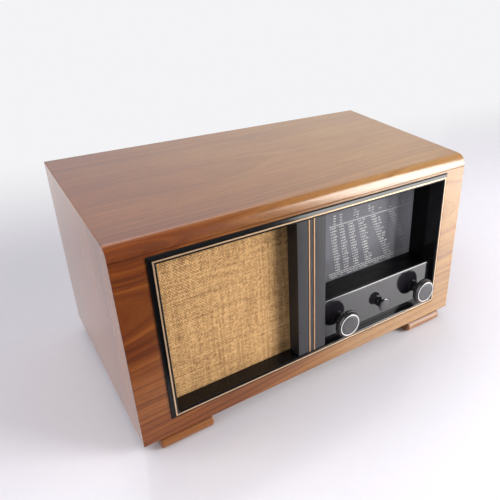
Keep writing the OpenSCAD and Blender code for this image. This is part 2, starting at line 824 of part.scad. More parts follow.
// Spindle of the tuning knob, with the groove that the cord is wound in
module tuning_spindle() {
    color("#b9bcc0") on_front() front_turned(tuning_x, knob_v, [
        [0, 2 - face_w], [shaft_r, 2 - face_w], [shaft_r, cord_d - 4.5], [4.6, cord_d - 4.5],
        [4.6, cord_d - 3.2], [spindle_r - 0.8, cord_d - 2.2], [spindle_r - 0.8, cord_d + 2.2],
        [4.6, cord_d + 3.2], [4.6, cord_d + 4.5], [0, cord_d + 4.5]
    ]);
}

module bearing(x, back_d) {
    front_turned(x, knob_v, [
        [shaft_r + run_gap, apron_d - 6], [bush_r, apron_d - 6], [bush_r, apron_d - 2.5],
        [7, apron_d - 2.5], [7, apron_d], [bush_r, apron_d], [bush_r, apron_d + sheet_t],
        [7, apron_d + sheet_t], [7, back_d], [shaft_r + run_gap, back_d]
    ]);
}

module tuning_bush() {
    color("#b59a5a") on_front() bearing(tuning_x, apron_d + 8);
}

module volume_control() {
    can_d = apron_d + 3;
    color("#c8b088") on_front() {
        bearing(volume_x, can_d);
        front_turned(volume_x, knob_v, [
            [shaft_r + run_gap, can_d], [14, can_d], [14, can_d + 12], [0, can_d + 12],
            [0, can_d + 9.5], [shaft_r + run_gap, can_d + 9.5]
        ]);
        for (x = [-7, 0, 7]) front_box(volume_x + x - 1.2, volume_x + x + 1.2, knob_v - 20,
            knob_v - 12, can_d + 1, can_d + 2);
    }
}

wafer_r = 19;

// Wafer switch: a front plate on its bush, two pillars and two contact wafers
module band_switch() {
    color("#b08a50") on_front() {
        bearing(selector_x, apron_d + 4);
        difference() {
            front_box(selector_x - 20, selector_x + 20, knob_v - 8, knob_v + 8,
                apron_d + 4, apron_d + 5.5);
            front_rod(selector_x, knob_v, shaft_r + 0.5, apron_d, apron_d + 9);
        }
        for (x = [-16, 16]) front_rod(selector_x + x, knob_v, 2, apron_d + 5.5, apron_d + 32);
        for (d = [apron_d + 14, apron_d + 28]) difference() {
            front_rod(selector_x, knob_v, wafer_r, d, d + 1.6);
            front_rod(selector_x, knob_v, shaft_r + 0.5, d - 1, d + 3);
        }
    }
}

// Chassis and what stands on it

module in_case(x, y, z) {
    translate([x, front_y + y, foot_h + z]) children();
}

module chassis_screw_places() {
    for (x = [chassis_x0 + 8, chassis_x1 - 8], y = [70, chassis_y1 - 36]) in_case(x, y, 0) children();
}

module valve_places() {
    for (i = [0:2]) in_case(valve_x + i * valve_gap, valve_y, chassis_z) children();
    power_places() children();
}

module power_places() {
    for (y = [valve_row_y, valve_y]) in_case(power_x, y, chassis_z) children();
}

function chassis_side(inset) = [
    level(board_t - inset, apron_d + inset), level(chassis_z - inset, apron_d + inset),
    [chassis_y1 - inset, chassis_z - inset], [chassis_y1 - inset, board_t - inset]
];

// Folded steel pan, open underneath, with turned-in feet at its ends
module chassis() {
    width = chassis_x1 - chassis_x0;
    mid = (chassis_x0 + chassis_x1) / 2;
    color("#8f9396") difference() {
        union() {
            difference() {
                translate([mid, 0, 0]) along_x(width) polygon(chassis_side(0));
                translate([mid, 0, 0]) along_x(width - 2 * sheet_t) polygon(chassis_side(sheet_t));
            }
            for (x = [chassis_x0 + sheet_t / 2, chassis_x1 - 14]) in_case(x, 60, board_t)
                cube([14 - sheet_t / 2, chassis_y1 - 70, sheet_t]);
        }
        chassis_screw_places() cylinder(r = 2.2, h = 30);
        valve_places() translate([0, 0, -5]) cylinder(r = 12, h = 10);
        on_front() {
            for (x = [volume_x, selector_x, tuning_x])
                front_rod(x, knob_v, bush_r + 0.1, apron_d - 3, apron_d + 4);
            front_box(drum_x - 12, tuning_x + 22, 70, 90, cord_d - 3, cord_d + 4.5);
        }
        in_case(aerial_x + 6, chassis_y1 - sheet_t - 1, aerial_z + aerial_h / 2 - 4)
            cube([aerial_w - 12, sheet_t + 2, 8]);
    }
}

module chassis_screws() {
    color("#c2c5c8") chassis_screw_places() {
        translate([0, 0, -2.4]) cylinder(r = 4, h = 2.4);
        translate([0, 0, -0.5]) cylinder(r = 2, h = board_t + 8);
        translate([0, 0, board_t + sheet_t]) cylinder(r = 3.6, h = 3, $fn = 6);
    }
}

// Laminated core with the winding's bobbin showing front and back, on two clamping rails
module transformer(core, bobbin) {
    color("#4a4c50") translate([-core[0] / 2, -core[1] / 2, 0]) difference() {
        cube(core);
        translate([core[0] * 0.18, -1, core[2] * 0.2]) cube([core[0] * 0.64, core[1] + 2, core[2] * 0.6]);
    }
    color("#8a5a34") translate([0, 0, core[2] / 2])
        cube([core[0] * 0.62, bobbin, core[2] * 0.58], center = true);
}

module mains_transformer() {
    in_case(mains_x, cab_d - 74, chassis_z) transformer(mains_core, 62);
}

module output_transformer() {
    in_case(speaker_x, cab_d - 60, board_t) transformer([50, 26, 44], 44);
}

module valve_sockets() {
    color("#3a2c22") valve_places() difference() {
        cylinder(r = 17, h = socket_h);
        translate([0, 0, -1]) cylinder(r = 4, h = socket_h + 2);
    }
}

// A valve: its dark base and its glass, drawn from the foot of the base as [radius, height]
module valve(r, h) {
    rotate_extrude() {
        square([r, 14]);
        translate([0, 14]) square([r - 1, h - 14 - r + 1]);
        intersection() {
            translate([0, h - r + 1]) circle(r - 1);
            translate([0, h - r + 1]) square(r);
        }
    }
}

module small_valves() {
    color("#9aa6a8") for (i = [0:2])
        in_case(valve_x + i * valve_gap, valve_y, chassis_z + socket_h) valve(15, small_valve_h);
}

module power_valves() {
    color("#8d999b") power_places() translate([0, 0, socket_h]) valve(18, power_valve_h);
}

module if_cans() {
    color("#bcbfc2") for (i = [0, 1]) in_case(valve_x + i * valve_gap - 17, valve_row_y - 17, chassis_z)
        cube([34, 34, 76]);
}

module filter_capacitor() {
    color("#b3b7ba") in_case(valve_x + 2 * valve_gap - 4, valve_row_y, chassis_z) {
        cylinder(r = 17, h = 68);
        cylinder(r = 19, h = 3);
    }
}

aerial_w = 56;
aerial_h = 22;
aerial_d = 12;
aerial_x = post_x1 + 10;
aerial_z = board_t + 22;
inlet_w = 34;
inlet_h = 22;
inlet_x = win_x - 38.4;
inlet_z = board_t + 22;

// Insulating strip with four sockets for aerial, earth and pick-up plugs
module aerial_strip() {
    color("#5a3a22") difference() {
        in_case(aerial_x, chassis_y1, aerial_z) cube([aerial_w, aerial_d, aerial_h]);
        for (k = [0:3]) in_case(aerial_x + 10 + k * 12, chassis_y1 - 1, aerial_z + aerial_h / 2)
            rotate([-90, 0, 0]) cylinder(r = 2.05, h = aerial_d + 2);
    }
}

// Sunk mains connector with two flat-ended pins
module mains_inlet() {
    color("#2a2320") {
        difference() {
            in_case(inlet_x, chassis_y1, inlet_z) cube([inlet_w, 15, inlet_h]);
            in_case(inlet_x + 3, chassis_y1 + 3, inlet_z + 3) cube([inlet_w - 6, 20, inlet_h - 6]);
        }
        for (x = [-6.5, 6.5]) in_case(inlet_x + inlet_w / 2 + x, chassis_y1 + 2, inlet_z + inlet_h / 2)
            rotate([-90, 0, 0]) cylinder(r = 2.4, h = 12);
    }
}

top_board();
left_side();
right_side();
bottom_board();
front_panel();
glue_blocks();
front_feet();
rear_feet();
back_cover();
fascia_frame();
frame_gilt();
post();
post_gilt();
speaker_cloth();
baffle_board();
speaker_basket();
speaker_magnet();
speaker_cone();
voice_coil();
dust_cap();
dial_recess();
dial_ledge();
dial_glass();
glass_clips();
dial_backplate();
dial_lamps();
lamp_holders();
pointer();
pointer_carriage();
drive_cord();
left_pulley();
right_pulley();
drive_drum();
drum_spring();
capacitor_frame();
capacitor_stator();
capacitor_rotor();
control_panel();
volume_knob();
volume_ring();
volume_shaft();
volume_control();
selector_knob();
selector_shaft();
band_switch();
tuning_knob();
tuning_ring();
tuning_spindle();
tuning_bush();
chassis();
chassis_screws();
mains_transformer();
output_transformer();
valve_sockets();
small_valves();
power_valves();
if_cans();
filter_capacitor();
aerial_strip();
mains_inlet();
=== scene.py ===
import bpy
import bmesh
import math
import random
from mathutils import Matrix, Vector, noise


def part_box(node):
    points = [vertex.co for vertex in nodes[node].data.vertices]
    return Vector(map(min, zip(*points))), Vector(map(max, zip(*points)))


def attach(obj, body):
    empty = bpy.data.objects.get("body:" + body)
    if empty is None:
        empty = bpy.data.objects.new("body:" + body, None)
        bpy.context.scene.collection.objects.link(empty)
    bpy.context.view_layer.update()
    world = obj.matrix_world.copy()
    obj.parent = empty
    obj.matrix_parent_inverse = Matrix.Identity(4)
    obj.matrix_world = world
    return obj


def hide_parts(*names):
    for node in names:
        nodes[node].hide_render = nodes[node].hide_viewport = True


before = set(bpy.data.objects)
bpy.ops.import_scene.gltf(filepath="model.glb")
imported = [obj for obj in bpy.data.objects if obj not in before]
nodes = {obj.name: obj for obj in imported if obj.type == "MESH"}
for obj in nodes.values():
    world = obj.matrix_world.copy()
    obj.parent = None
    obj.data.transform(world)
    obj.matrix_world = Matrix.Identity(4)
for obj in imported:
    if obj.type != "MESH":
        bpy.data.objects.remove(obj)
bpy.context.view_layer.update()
mm = 0.001

# The front leans back. Its own frame is x across, v up the front and w out of it, in mm.
front = {"originY": -126.0741, "footHeight": 16.0, "lean": 6.0}
frontFoot = Matrix.Translation((0, front["originY"] * mm, front["footHeight"] * mm))
frontTurn = Matrix.Rotation(math.radians(90 - front["lean"]), 4, "X")
frontPlace = frontFoot @ frontTurn @ Matrix.Scale(mm, 4)
levelTurn = (-math.radians(90 - front["lean"]), 0, 0)  # turns a pattern into the front's own frame


# making materials

def addNode(tree, kind, values=None, **settings):
    made = tree.nodes.new("ShaderNode" + kind)
    for key, value in settings.items():
        setattr(made, key, value)
    for key, value in (values or {}).items():
        if isinstance(value, bpy.types.NodeSocket):
            tree.links.new(value, made.inputs[key])
        else:
            made.inputs[key].default_value = value
    return made


def calc(tree, operation, a, b):
    return addNode(tree, "Math", {0: a, 1: b}, operation=operation).outputs[0]


def vectorCalc(tree, operation, a, b=(0, 0, 0)):
    made = addNode(tree, "VectorMath", {0: a, 1: b}, operation=operation)
    return made.outputs["Value" if operation in ("LENGTH", "DOT_PRODUCT") else "Vector"]


def weighed(tree, *parts):
    # the sum of values, each times its weight
    scaled = [calc(tree, "MULTIPLY", value, weight) for value, weight in parts]
    total = scaled[0]
    for part in scaled[1:]:
        total = calc(tree, "ADD", total, part)
    return total


def blendColour(tree, factor, a, b, how="MIX"):
    a, b = (colour if isinstance(colour, bpy.types.NodeSocket) else (*colour, 1) for colour in (a, b))
    return addNode(tree, "Mix", {0: factor, 6: a, 7: b}, data_type="RGBA", blend_type=how).outputs[2]


def grey(level):
    return (level, level, level)


def colourRamp(tree, factor, stops):
    made = addNode(tree, "ValToRGB", {0: factor})
    while len(made.color_ramp.elements) < len(stops):
        made.color_ramp.elements.new(0.5)
    for element, (place, colour) in zip(made.color_ramp.elements, stops):
        element.position = place
        element.color = (*colour, 1)
    return made.outputs[0]


def greyed(tree, colour, value, stops):
    # the colour times a grey that follows the value
    ramp = colourRamp(tree, value, [(place, grey(level)) for place, level in stops])
    return blendColour(tree, 1.0, colour, ramp, "MULTIPLY")


def mapRange(tree, value, low, high, toLow=0.0, toHigh=1.0, ease="LINEAR"):
    return addNode(tree, "MapRange", {0: value, 1: low, 2: high, 3: toLow, 4: toHigh},
                   interpolation_type=ease).outputs[0]


def objectPoint(tree):
    return addNode(tree, "TexCoord").outputs["Object"]


def partOf(tree, vector, axis):
    return addNode(tree, "SeparateXYZ", {0: vector}).outputs[axis]


def riseOf(tree):
    # 1 on faces that look up, 0 on upright ones
    return partOf(tree, addNode(tree, "NewGeometry").outputs["Normal"], "Z")


def attributeOf(tree, name):
    return addNode(tree, "Attribute", attribute_name=name).outputs["Fac"]


def placed(tree, location=(0, 0, 0), turn=(0, 0, 0), scale=(1, 1, 1), source=None):
    values = {0: source or objectPoint(tree), 1: location, 2: turn, 3: scale}
    return addNode(tree, "Mapping", values).outputs[0]


def noiseOf(tree, vector, scale, detail=2.0, roughness=0.5, colour=False):
    values = {"Vector": vector, "Scale": scale, "Detail": detail, "Roughness": roughness}
    return addNode(tree, "TexNoise", values).outputs["Color" if colour else "Fac"]


def stretchedNoise(tree, source, scale, detail=2.0, roughness=0.5, offset=(0, 0, 0)):
    return noiseOf(tree, placed(tree, offset, scale=scale, source=source), 1.0, detail, roughness)


def ringNoise(tree, reach, scale, detail, roughness=0.5):
    values = {"W": reach, "Scale": scale, "Detail": detail, "Roughness": roughness}
    return addNode(tree, "TexNoise", values, noise_dimensions="1D").outputs["Fac"]


def bumpOf(tree, height, strength, distance):
    return addNode(tree, "Bump", {"Height": height, "Strength": strength, "Distance": distance}).outputs[0]


def newMaterial(name, values):
    made = bpy.data.materials.new(name)
    made.use_nodes = True
    tree = made.node_tree
    shader = tree.nodes["Principled BSDF"]
    for key, value in values.items():
        shader.inputs[key].default_value = value
    return made, tree, shader


def feed(tree, shader, **sockets):
    names = {"colour": "Base Color", "roughness": "Roughness", "normal": "Normal", "coat": "Coat Weight",
             "coatNormal": "Coat Normal"}
    for key, socket in sockets.items():
        tree.links.new(socket, shader.inputs[names[key]])


# finishes

walnutLooks = {
    # tones from dark to pale, of the heartwood at the left end and of the paler wood at the right, which is
    # paler partly as sapwood and partly as painted light for the window on that side
    "front": {"turn": (0.03, 0.0, -0.05), "pith": (0.0, 0.012, 0.168), "offset": (0.0, 0.0, 0.0),
              "heart": [(0.116, 0.022, 0.002), (0.186, 0.040, 0.004), (0.250, 0.064, 0.008)],
              "sap": [(0.255, 0.106, 0.018), (0.325, 0.146, 0.028), (0.385, 0.188, 0.042)],
              "lines": 0.38, "knot": (-0.222, -0.112, 0.234),
              "gloss": 0.22, "coat": 1.85, "uprightCoat": (0.30, 0.68), "noseCoat": (0.20, 0.62)},
    "side": {"turn": (0.0, math.radians(90), 0.05), "pith": (0.0, 0.02, 0.15), "offset": (0.31, 0.1, 0.2),
             "heart": [(0.190, 0.052, 0.010), (0.260, 0.082, 0.018), (0.320, 0.112, 0.030)],
             "sap": [(0.210, 0.066, 0.013), (0.280, 0.100, 0.022), (0.340, 0.132, 0.034)],
             "lines": 0.0, "knot": None,
             "gloss": 0.12, "coat": 1.5, "uprightCoat": (1.0, 1.0), "noseCoat": (1.0, 1.0)},
    "foot": {"turn": (0.02, 0.0, 0.02), "pith": (0.0, 0.03, 0.05), "offset": (1.7, 0.4, 0.9),
             "heart": [(0.130, 0.034, 0.006), (0.200, 0.056, 0.010), (0.260, 0.085, 0.018)],
             "sap": [(0.190, 0.070, 0.020), (0.250, 0.100, 0.030), (0.300, 0.130, 0.044)],
             "lines": 0.5, "knot": None,
             "gloss": 0.28, "coat": 1.4, "uprightCoat": (0.7, 0.7), "noseCoat": (0.7, 0.7)},
}

walnutGrain = {
    # scales of the noises per metre, along the board first, and those that follow the rings
    "wander": (2.2, 7, 7), "fibres": (22, 900, 900), "pores": (120, 2600, 2600), "clouds": (5, 14, 14),
    "ripple": (6, 40, 40), "rings": 210.0, "streaks": 46.0, "lines": 420.0,
    # how far the rings wander, and what rings, streaks and clouds give to the tone
    "wanderBy": (0.0, 0.026, 0.026), "ringShare": 0.55, "streakShare": 0.45, "cloudShare": 0.25,
    # tones of the dark, middle and pale colour, greys of fibres and pores, and darkening of the edges
    "tones": (0.38, 0.48, 0.59), "fibreGreys": [(0.30, 0.84), (0.70, 1.10)],
    "poreGreys": [(0.60, 1.0), (0.70, 0.62)], "edgeWear": 0.45,
    # ranges: from, to, and what they give at each end, by a face's rise, its place across or the tone
    "fadedTop": (0.90, 0.995, 1.0, 0.45), "softLinesTop": (0.80, 0.98, 1.0, 0.25),
    "softLinesRight": (-0.20, 0.02, 1.0, 0.30), "sapAndLightRight": (-0.24, 0.16), "lineTones": (0.36, 0.50),
    "coatRight": (-0.19, -0.02), "noseCoatRight": (-0.12, 0.10), "noseRise": (0.12, 0.30),
    "topRise": (0.93, 0.999)}

# the rings swirl round the knot, which has a dark core
walnutKnot = {"stretch": (0.36, 1.0, 1.0), "swirl": (0.0, 0.034, 1.0, 0.0), "swirlBy": 0.007,
              "core": (0.002, 0.016, 0.55, 0.0)}


def pithDistance(tree, look, along):
    around = vectorCalc(tree, "SUBTRACT", along, look["pith"])
    # the rings wander slowly along the board
    wander = placed(tree, look["offset"], scale=walnutGrain["wander"], source=around)
    wander = vectorCalc(tree, "SUBTRACT", noiseOf(tree, wander, 1.0, 3, colour=True), (0.5, 0.5, 0.5))
    wander = vectorCalc(tree, "MULTIPLY", wander, walnutGrain["wanderBy"])
    bent = vectorCalc(tree, "ADD", around, wander)
    return vectorCalc(tree, "LENGTH", vectorCalc(tree, "MULTIPLY", bent, (0.0, 1.0, 1.0)))


def knotDistance(tree, look, source):
    away = vectorCalc(tree, "SUBTRACT", source, look["knot"])
    return vectorCalc(tree, "LENGTH", vectorCalc(tree, "MULTIPLY", away, walnutKnot["stretch"]))


def walnutCoat(tree, look, across, rises):
    # the front's upright faces have less of a coat than its top, and its nose has the least
    panelCoat = mapRange(tree, across, *walnutGrain["coatRight"], *look["uprightCoat"])
    noseCoat = mapRange(tree, across, *walnutGrain["noseCoatRight"], *look["noseCoat"])
    upright = mapRange(tree, rises, *walnutGrain["noseRise"], panelCoat, noseCoat)
    return mapRange(tree, rises, *walnutGrain["topRise"], upright, 1.0)


def walnut(name, look):
    made, tree, shader = newMaterial(name, {
        "Roughness": 0.5, "Specular IOR Level": 0.2, "Coat Roughness": look["gloss"],
        "Coat IOR": look["coat"]})
    grain, knot, darkest = walnutGrain, walnutKnot, look["heart"][0]
    source = objectPoint(tree)
    along = placed(tree, turn=look["turn"], source=source)
    across, rises = partOf(tree, source, "X"), riseOf(tree)
    reach = pithDistance(tree, look, along)
    if look["knot"]:
        away = knotDistance(tree, look, source)
        swirl = mapRange(tree, away, *knot["swirl"], "SMOOTHERSTEP")
        reach = calc(tree, "ADD", reach, calc(tree, "MULTIPLY", swirl, knot["swirlBy"]))
    # growth rings of uneven width, wide streaks of darker heartwood, then fibres and pores
    rings = ringNoise(tree, reach, grain["rings"], 3.0, 0.62)
    streaks = ringNoise(tree, reach, grain["streaks"], 2.0)
    fibres = stretchedNoise(tree, along, grain["fibres"], 3, 0.6, look["offset"])
    pores = stretchedNoise(tree, along, grain["pores"], 1, 0.5, look["offset"])
    clouds = stretchedNoise(tree, along, grain["clouds"], 2, 0.5, look["offset"])
    cloudy = calc(tree, "MULTIPLY", calc(tree, "SUBTRACT", clouds, 0.5), grain["cloudShare"])
    tone = weighed(tree, (rings, grain["ringShare"]), (streaks, grain["streakShare"]))
    tone = calc(tree, "ADD", tone, cloudy)
    # the top has faded, so its figure is softer than the front's
    middle = grain["tones"][1]
    faded = mapRange(tree, rises, *grain["fadedTop"])
    tone = calc(tree, "MULTIPLY", calc(tree, "SUBTRACT", tone, middle), faded)
    tone = calc(tree, "ADD", tone, middle)
    heart, sap = (colourRamp(tree, tone, list(zip(grain["tones"], look[part]))) for part in ("heart", "sap"))
    # partly painted light: the wood turns to the paler sap tones towards the right, where the window lights
    # it
    sapAndLightShare = mapRange(tree, calc(tree, "ADD", across, cloudy), *grain["sapAndLightRight"])
    wood = blendColour(tree, sapAndLightShare, heart, sap)
    wood = greyed(tree, wood, fibres, grain["fibreGreys"])
    wood = greyed(tree, wood, pores, grain["poreGreys"])
    # dark lines between the rings of the heartwood
    lines = ringNoise(tree, reach, grain["lines"], 1.0)
    lines = mapRange(tree, lines, *grain["lineTones"], look["lines"], 0.0, "SMOOTHSTEP")
    lines = calc(tree, "MULTIPLY", lines, mapRange(tree, rises, *grain["softLinesTop"]))
    lines = calc(tree, "MULTIPLY", lines, mapRange(tree, across, *grain["softLinesRight"]))
    wood = blendColour(tree, lines, wood, darkest)
    if look["knot"]:
        wood = blendColour(tree, mapRange(tree, away, *knot["core"], "SMOOTHSTEP"), wood, darkest)
    # edges have darkened a little under the lacquer
    wear = calc(tree, "MULTIPLY", attributeOf(tree, "edge"), grain["edgeWear"])
    wood = blendColour(tree, wear, wood, darkest)
    ripple = stretchedNoise(tree, along, grain["ripple"])
    feed(tree, shader, colour=wood, coat=walnutCoat(tree, look, across, rises),
         normal=bumpOf(tree, fibres, strength=0.25, distance=0.0002),
         coatNormal=bumpOf(tree, ripple, strength=0.12, distance=0.0006))
    return made


def plainWood(name, pale, dark, gloss):
    made, tree, shader = newMaterial(name, {"Roughness": gloss})
    grain = stretchedNoise(tree, None, (9, 190, 190), 4, 0.6)
    feed(tree, shader, colour=colourRamp(tree, grain, [(0.3, dark), (0.7, pale)]),
         normal=bumpOf(tree, grain, strength=0.3, distance=0.0003))
    return made


def lacquer(name, colour, gloss, level, dust, index=1.5):
    made, tree, shader = newMaterial(name, {"IOR": index, "Specular IOR Level": level})
    ripple = noiseOf(tree, placed(tree), 55.0, 3, 0.5)
    speck = noiseOf(tree, placed(tree), 620.0, 2, 0.6)
    # dust lies mostly on what looks up
    lies = mapRange(tree, riseOf(tree), 0.2, 0.9, 0.25, 1.0)
    grime = calc(tree, "MULTIPLY", colourRamp(tree, speck, [(0.60, grey(0)), (0.74, grey(1))]), lies)
    grime = calc(tree, "MULTIPLY", grime, dust)
    dulled = calc(tree, "ADD", calc(tree, "MULTIPLY", grime, 0.4), gloss * 0.75)
    feed(tree, shader, colour=blendColour(tree, grime, colour, (0.42, 0.40, 0.38)),
         roughness=calc(tree, "ADD", calc(tree, "MULTIPLY", ripple, gloss * 0.5), dulled),
         normal=bumpOf(tree, ripple, strength=0.05, distance=0.0006))
    return made


def metal(name, colour, gloss, grain, depth, tarnish, metallic=1.0):
    made, tree, shader = newMaterial(name, {"Metallic": metallic})
    scratches = noiseOf(tree, placed(tree, scale=grain), 4.0, 3, 0.6)
    cloud = noiseOf(tree, placed(tree), 24.0, 3, 0.6)
    dull = tuple(c * (1 - tarnish) for c in colour)
    feed(tree, shader, colour=colourRamp(tree, cloud, [(0.35, dull), (0.65, colour)]),
         roughness=mapRange(tree, scratches, 0.2, 0.8, gloss * 0.75, gloss * 1.3),
         normal=bumpOf(tree, scratches, strength=depth, distance=0.0002))
    return made


def moulded(name, colour, gloss, uneven, grain, depth):
    made, tree, shader = newMaterial(name, {})
    skin = noiseOf(tree, placed(tree), grain, 3, 0.6)
    cloud = noiseOf(tree, placed(tree), 18.0, 2, 0.5)
    dark = tuple(c * (1 - uneven) for c in colour)
    light = tuple(min(c * (1 + uneven), 1) for c in colour)
    feed(tree, shader, colour=colourRamp(tree, cloud, [(0.3, dark), (0.7, light)]),
         roughness=mapRange(tree, skin, 0.2, 0.8, gloss * 0.85, gloss * 1.15),
         normal=bumpOf(tree, skin, strength=depth, distance=0.0002))
    return made


def hardboard(name, pale, dark):
    made, tree, shader = newMaterial(name, {"Roughness": 0.62})
    mottle = noiseOf(tree, placed(tree), 210.0, 5, 0.72)
    cloud = noiseOf(tree, placed(tree), 9.0, 3, 0.5)
    mesh = addNode(tree, "TexVoronoi", {"Vector": placed(tree), "Scale": 900.0}).outputs["Distance"]
    tone = weighed(tree, (mottle, 0.7), (cloud, 0.3))
    feed(tree, shader, colour=colourRamp(tree, tone, [(0.35, dark), (0.62, pale)]),
         normal=bumpOf(tree, calc(tree, "ADD", mesh, mottle), strength=0.35, distance=0.0003))
    return made


knobFace = {"dark": (0.040, 0.039, 0.042), "pale": (0.092, 0.089, 0.096), "level": 0.30,
            "rings": 2600.0, "ringShare": 0.6, "hairs": 700.0, "hairShare": 0.4}


def brushedFace(name, centre, gloss):
    made, tree, shader = newMaterial(name, {"IOR": 1.5, "Specular IOR Level": knobFace["level"]})
    # rings about the knob's axis, in the front's own frame
    flat = placed(tree, turn=levelTurn, source=vectorCalc(tree, "SUBTRACT", objectPoint(tree), centre))
    flat = vectorCalc(tree, "MULTIPLY", flat, (1, 1, 0))
    rings = ringNoise(tree, vectorCalc(tree, "LENGTH", flat), knobFace["rings"], 2.0)
    hairs = noiseOf(tree, flat, knobFace["hairs"], 2, 0.6)
    tone = weighed(tree, (rings, knobFace["ringShare"]), (hairs, knobFace["hairShare"]))
    feed(tree, shader, colour=colourRamp(tree, tone, [(0.3, knobFace["dark"]), (0.7, knobFace["pale"])]),
         roughness=mapRange(tree, tone, 0.3, 0.7, gloss * 0.8, gloss * 1.2),
         normal=bumpOf(tree, tone, strength=0.25, distance=0.0001))
    return made


# gap is painted shade: a dark brown laid into the hollows between the yarns, by how deep they lie
clothLook = {"pale": (0.84, 0.50, 0.215), "mid": (0.57, 0.32, 0.118), "dark": (0.28, 0.13, 0.038),
             "tones": (0.34, 0.5, 0.62), "gap": (0.07, 0.030, 0.009), "valleyShadeDepth": (0.1, 1.0, 0.0, 0.78),
             # scales per metre across and up the front, and what each yarn and stitch gives to the tone
             "strand": (260, 1500, 1), "strandUp": (1500, 260, 1), "thread": (420, 12, 1),
             "pick": (12, 420, 1), "threadShare": 0.32, "pickShare": 0.30, "stitchShare": 0.38,
             "fluffGreys": [(0.3, 0.8), (0.7, 1.15)]}


def clothYarn(name, look):
    made, tree, shader = newMaterial(name, {
        "Roughness": 0.82, "Sheen Weight": 0.25, "Sheen Roughness": 0.5, "Sheen Tint": (1.0, 0.86, 0.62, 1)})
    level = placed(tree, turn=levelTurn)
    strand, strandUp = (stretchedNoise(tree, level, look[way], 2, 0.6) for way in ("strand", "strandUp"))
    thread, pick = (stretchedNoise(tree, level, look[way], 1, 0.5) for way in ("thread", "pick"))
    uneven = weighed(tree, (thread, look["threadShare"]), (pick, look["pickShare"]),
                     (attributeOf(tree, "stitch"), look["stitchShare"]))
    yarn = colourRamp(tree, uneven, list(zip(look["tones"], (look["dark"], look["mid"], look["pale"]))))
    fluff = weighed(tree, (strand, 0.5), (strandUp, 0.5))
    yarn = greyed(tree, yarn, fluff, look["fluffGreys"])
    # painted shade: the hollows between the yarns are darkened by how deep they lie
    gap = mapRange(tree, attributeOf(tree, "valley"), *look["valleyShadeDepth"])
    yarn = blendColour(tree, gap, yarn, look["gap"])
    feed(tree, shader, colour=yarn, normal=bumpOf(tree, fluff, strength=0.5, distance=0.0003))
    return made


print("finishes")
walnutFront = walnut("walnutFront", walnutLooks["front"])
walnutSide = walnut("walnutSide", walnutLooks["side"])
walnutFoot = walnut("walnutFoot", walnutLooks["foot"])
rawWood = plainWood("rawWood", pale=(0.46, 0.30, 0.17), dark=(0.30, 0.18, 0.09), gloss=0.7)
plywood = plainWood("plywood", pale=(0.52, 0.38, 0.24), dark=(0.36, 0.24, 0.13), gloss=0.75)
blackGloss = lacquer("blackGloss", (0.006, 0.006, 0.007), gloss=0.12, level=0.28, dust=0.05)
blackPanel = lacquer("blackPanel", (0.012, 0.011, 0.014), gloss=0.09, level=0.60, dust=0.05)
blackPost = lacquer("blackPost", (0.016, 0.015, 0.018), gloss=0.30, level=0.5, dust=0.05, index=1.55)
blackRecess = lacquer("blackRecess", (0.004, 0.004, 0.005), gloss=0.30, level=0.15, dust=0.03, index=1.45)
gilt = metal("gilt", (0.70, 0.47, 0.29), gloss=0.32, grain=(40, 400, 400), depth=0.02, tarnish=0.1,
             metallic=0.5)
coppery = metal("coppery", (0.62, 0.36, 0.20), gloss=0.34, grain=(400, 400, 40), depth=0.02, tarnish=0.15,
                metallic=0.6)
whiteRing = moulded("whiteRing", (0.86, 0.83, 0.84), gloss=0.28, uneven=0.04, grain=300.0, depth=0.05)
knobBlack = lacquer("knobBlack", (0.008, 0.008, 0.009), gloss=0.14, level=0.85, dust=0.03)
clothFinish = clothYarn("clothFinish", clothLook)
backBoard = hardboard("backBoard", pale=(0.235, 0.128, 0.066), dark=(0.120, 0.060, 0.030))
zinc = metal("zinc", (0.62, 0.63, 0.65), gloss=0.34, grain=(60, 60, 60), depth=0.10, tarnish=0.2)
brightSteel = metal("brightSteel", (0.66, 0.66, 0.68), gloss=0.20, grain=(60, 60, 60), depth=0.06,
                    tarnish=0.15)
castAluminium = metal("castAluminium", (0.70, 0.71, 0.73), gloss=0.38, grain=(120, 120, 120), depth=0.2,
                      tarnish=0.15)
brass = metal("brass", (0.80, 0.60, 0.30), gloss=0.28, grain=(80, 80, 80), depth=0.08, tarnish=0.3)
copperWire = metal("copperWire", (0.72, 0.34, 0.18), gloss=0.35, grain=(20, 20, 1800), depth=0.6, tarnish=0.2)
darkIron = moulded("darkIron", (0.075, 0.077, 0.082), gloss=0.5, uneven=0.25, grain=240.0, depth=0.3)
bakelite = moulded("bakelite", (0.050, 0.026, 0.014), gloss=0.24, uneven=0.35, grain=60.0, depth=0.05)
paxolin = moulded("paxolin", (0.24, 0.105, 0.042), gloss=0.38, uneven=0.25, grain=500.0, depth=0.1)
paperCone = moulded("paperCone", (0.055, 0.050, 0.045), gloss=0.9, uneven=0.3, grain=700.0, depth=0.6)
dialPaint = moulded("dialPaint", (0.045, 0.045, 0.050), gloss=0.55, uneven=0.1, grain=300.0, depth=0.1)
pointerRed = moulded("pointerRed", (0.62, 0.060, 0.030), gloss=0.35, uneven=0.08, grain=200.0, depth=0.05)
cordYarn = moulded("cordYarn", (0.52, 0.44, 0.30), gloss=0.85, uneven=0.2, grain=2600.0, depth=0.9)


# making pieces

weld = 2e-6  # points closer than this, in metres, are one
flatness = 0.4  # facets that differ by less than this, in degrees, are one face
sharp = {"piece": 32, "knob": 38, "paper": 40, "none": 180}  # edges over these angles stay sharp


def frontPoint(x, v):
    return frontPlace @ Vector((x, v, 0))


def frontAt(x, v):
    return frontPlace @ Matrix.Translation((x, v, 0))


def newObject(name, data):
    made = bpy.data.objects.new(name, data)
    bpy.context.scene.collection.objects.link(made)
    return made


def addObject(name, work):
    data = bpy.data.meshes.new(name)
    work.to_mesh(data)
    work.free()
    return newObject(name, data)


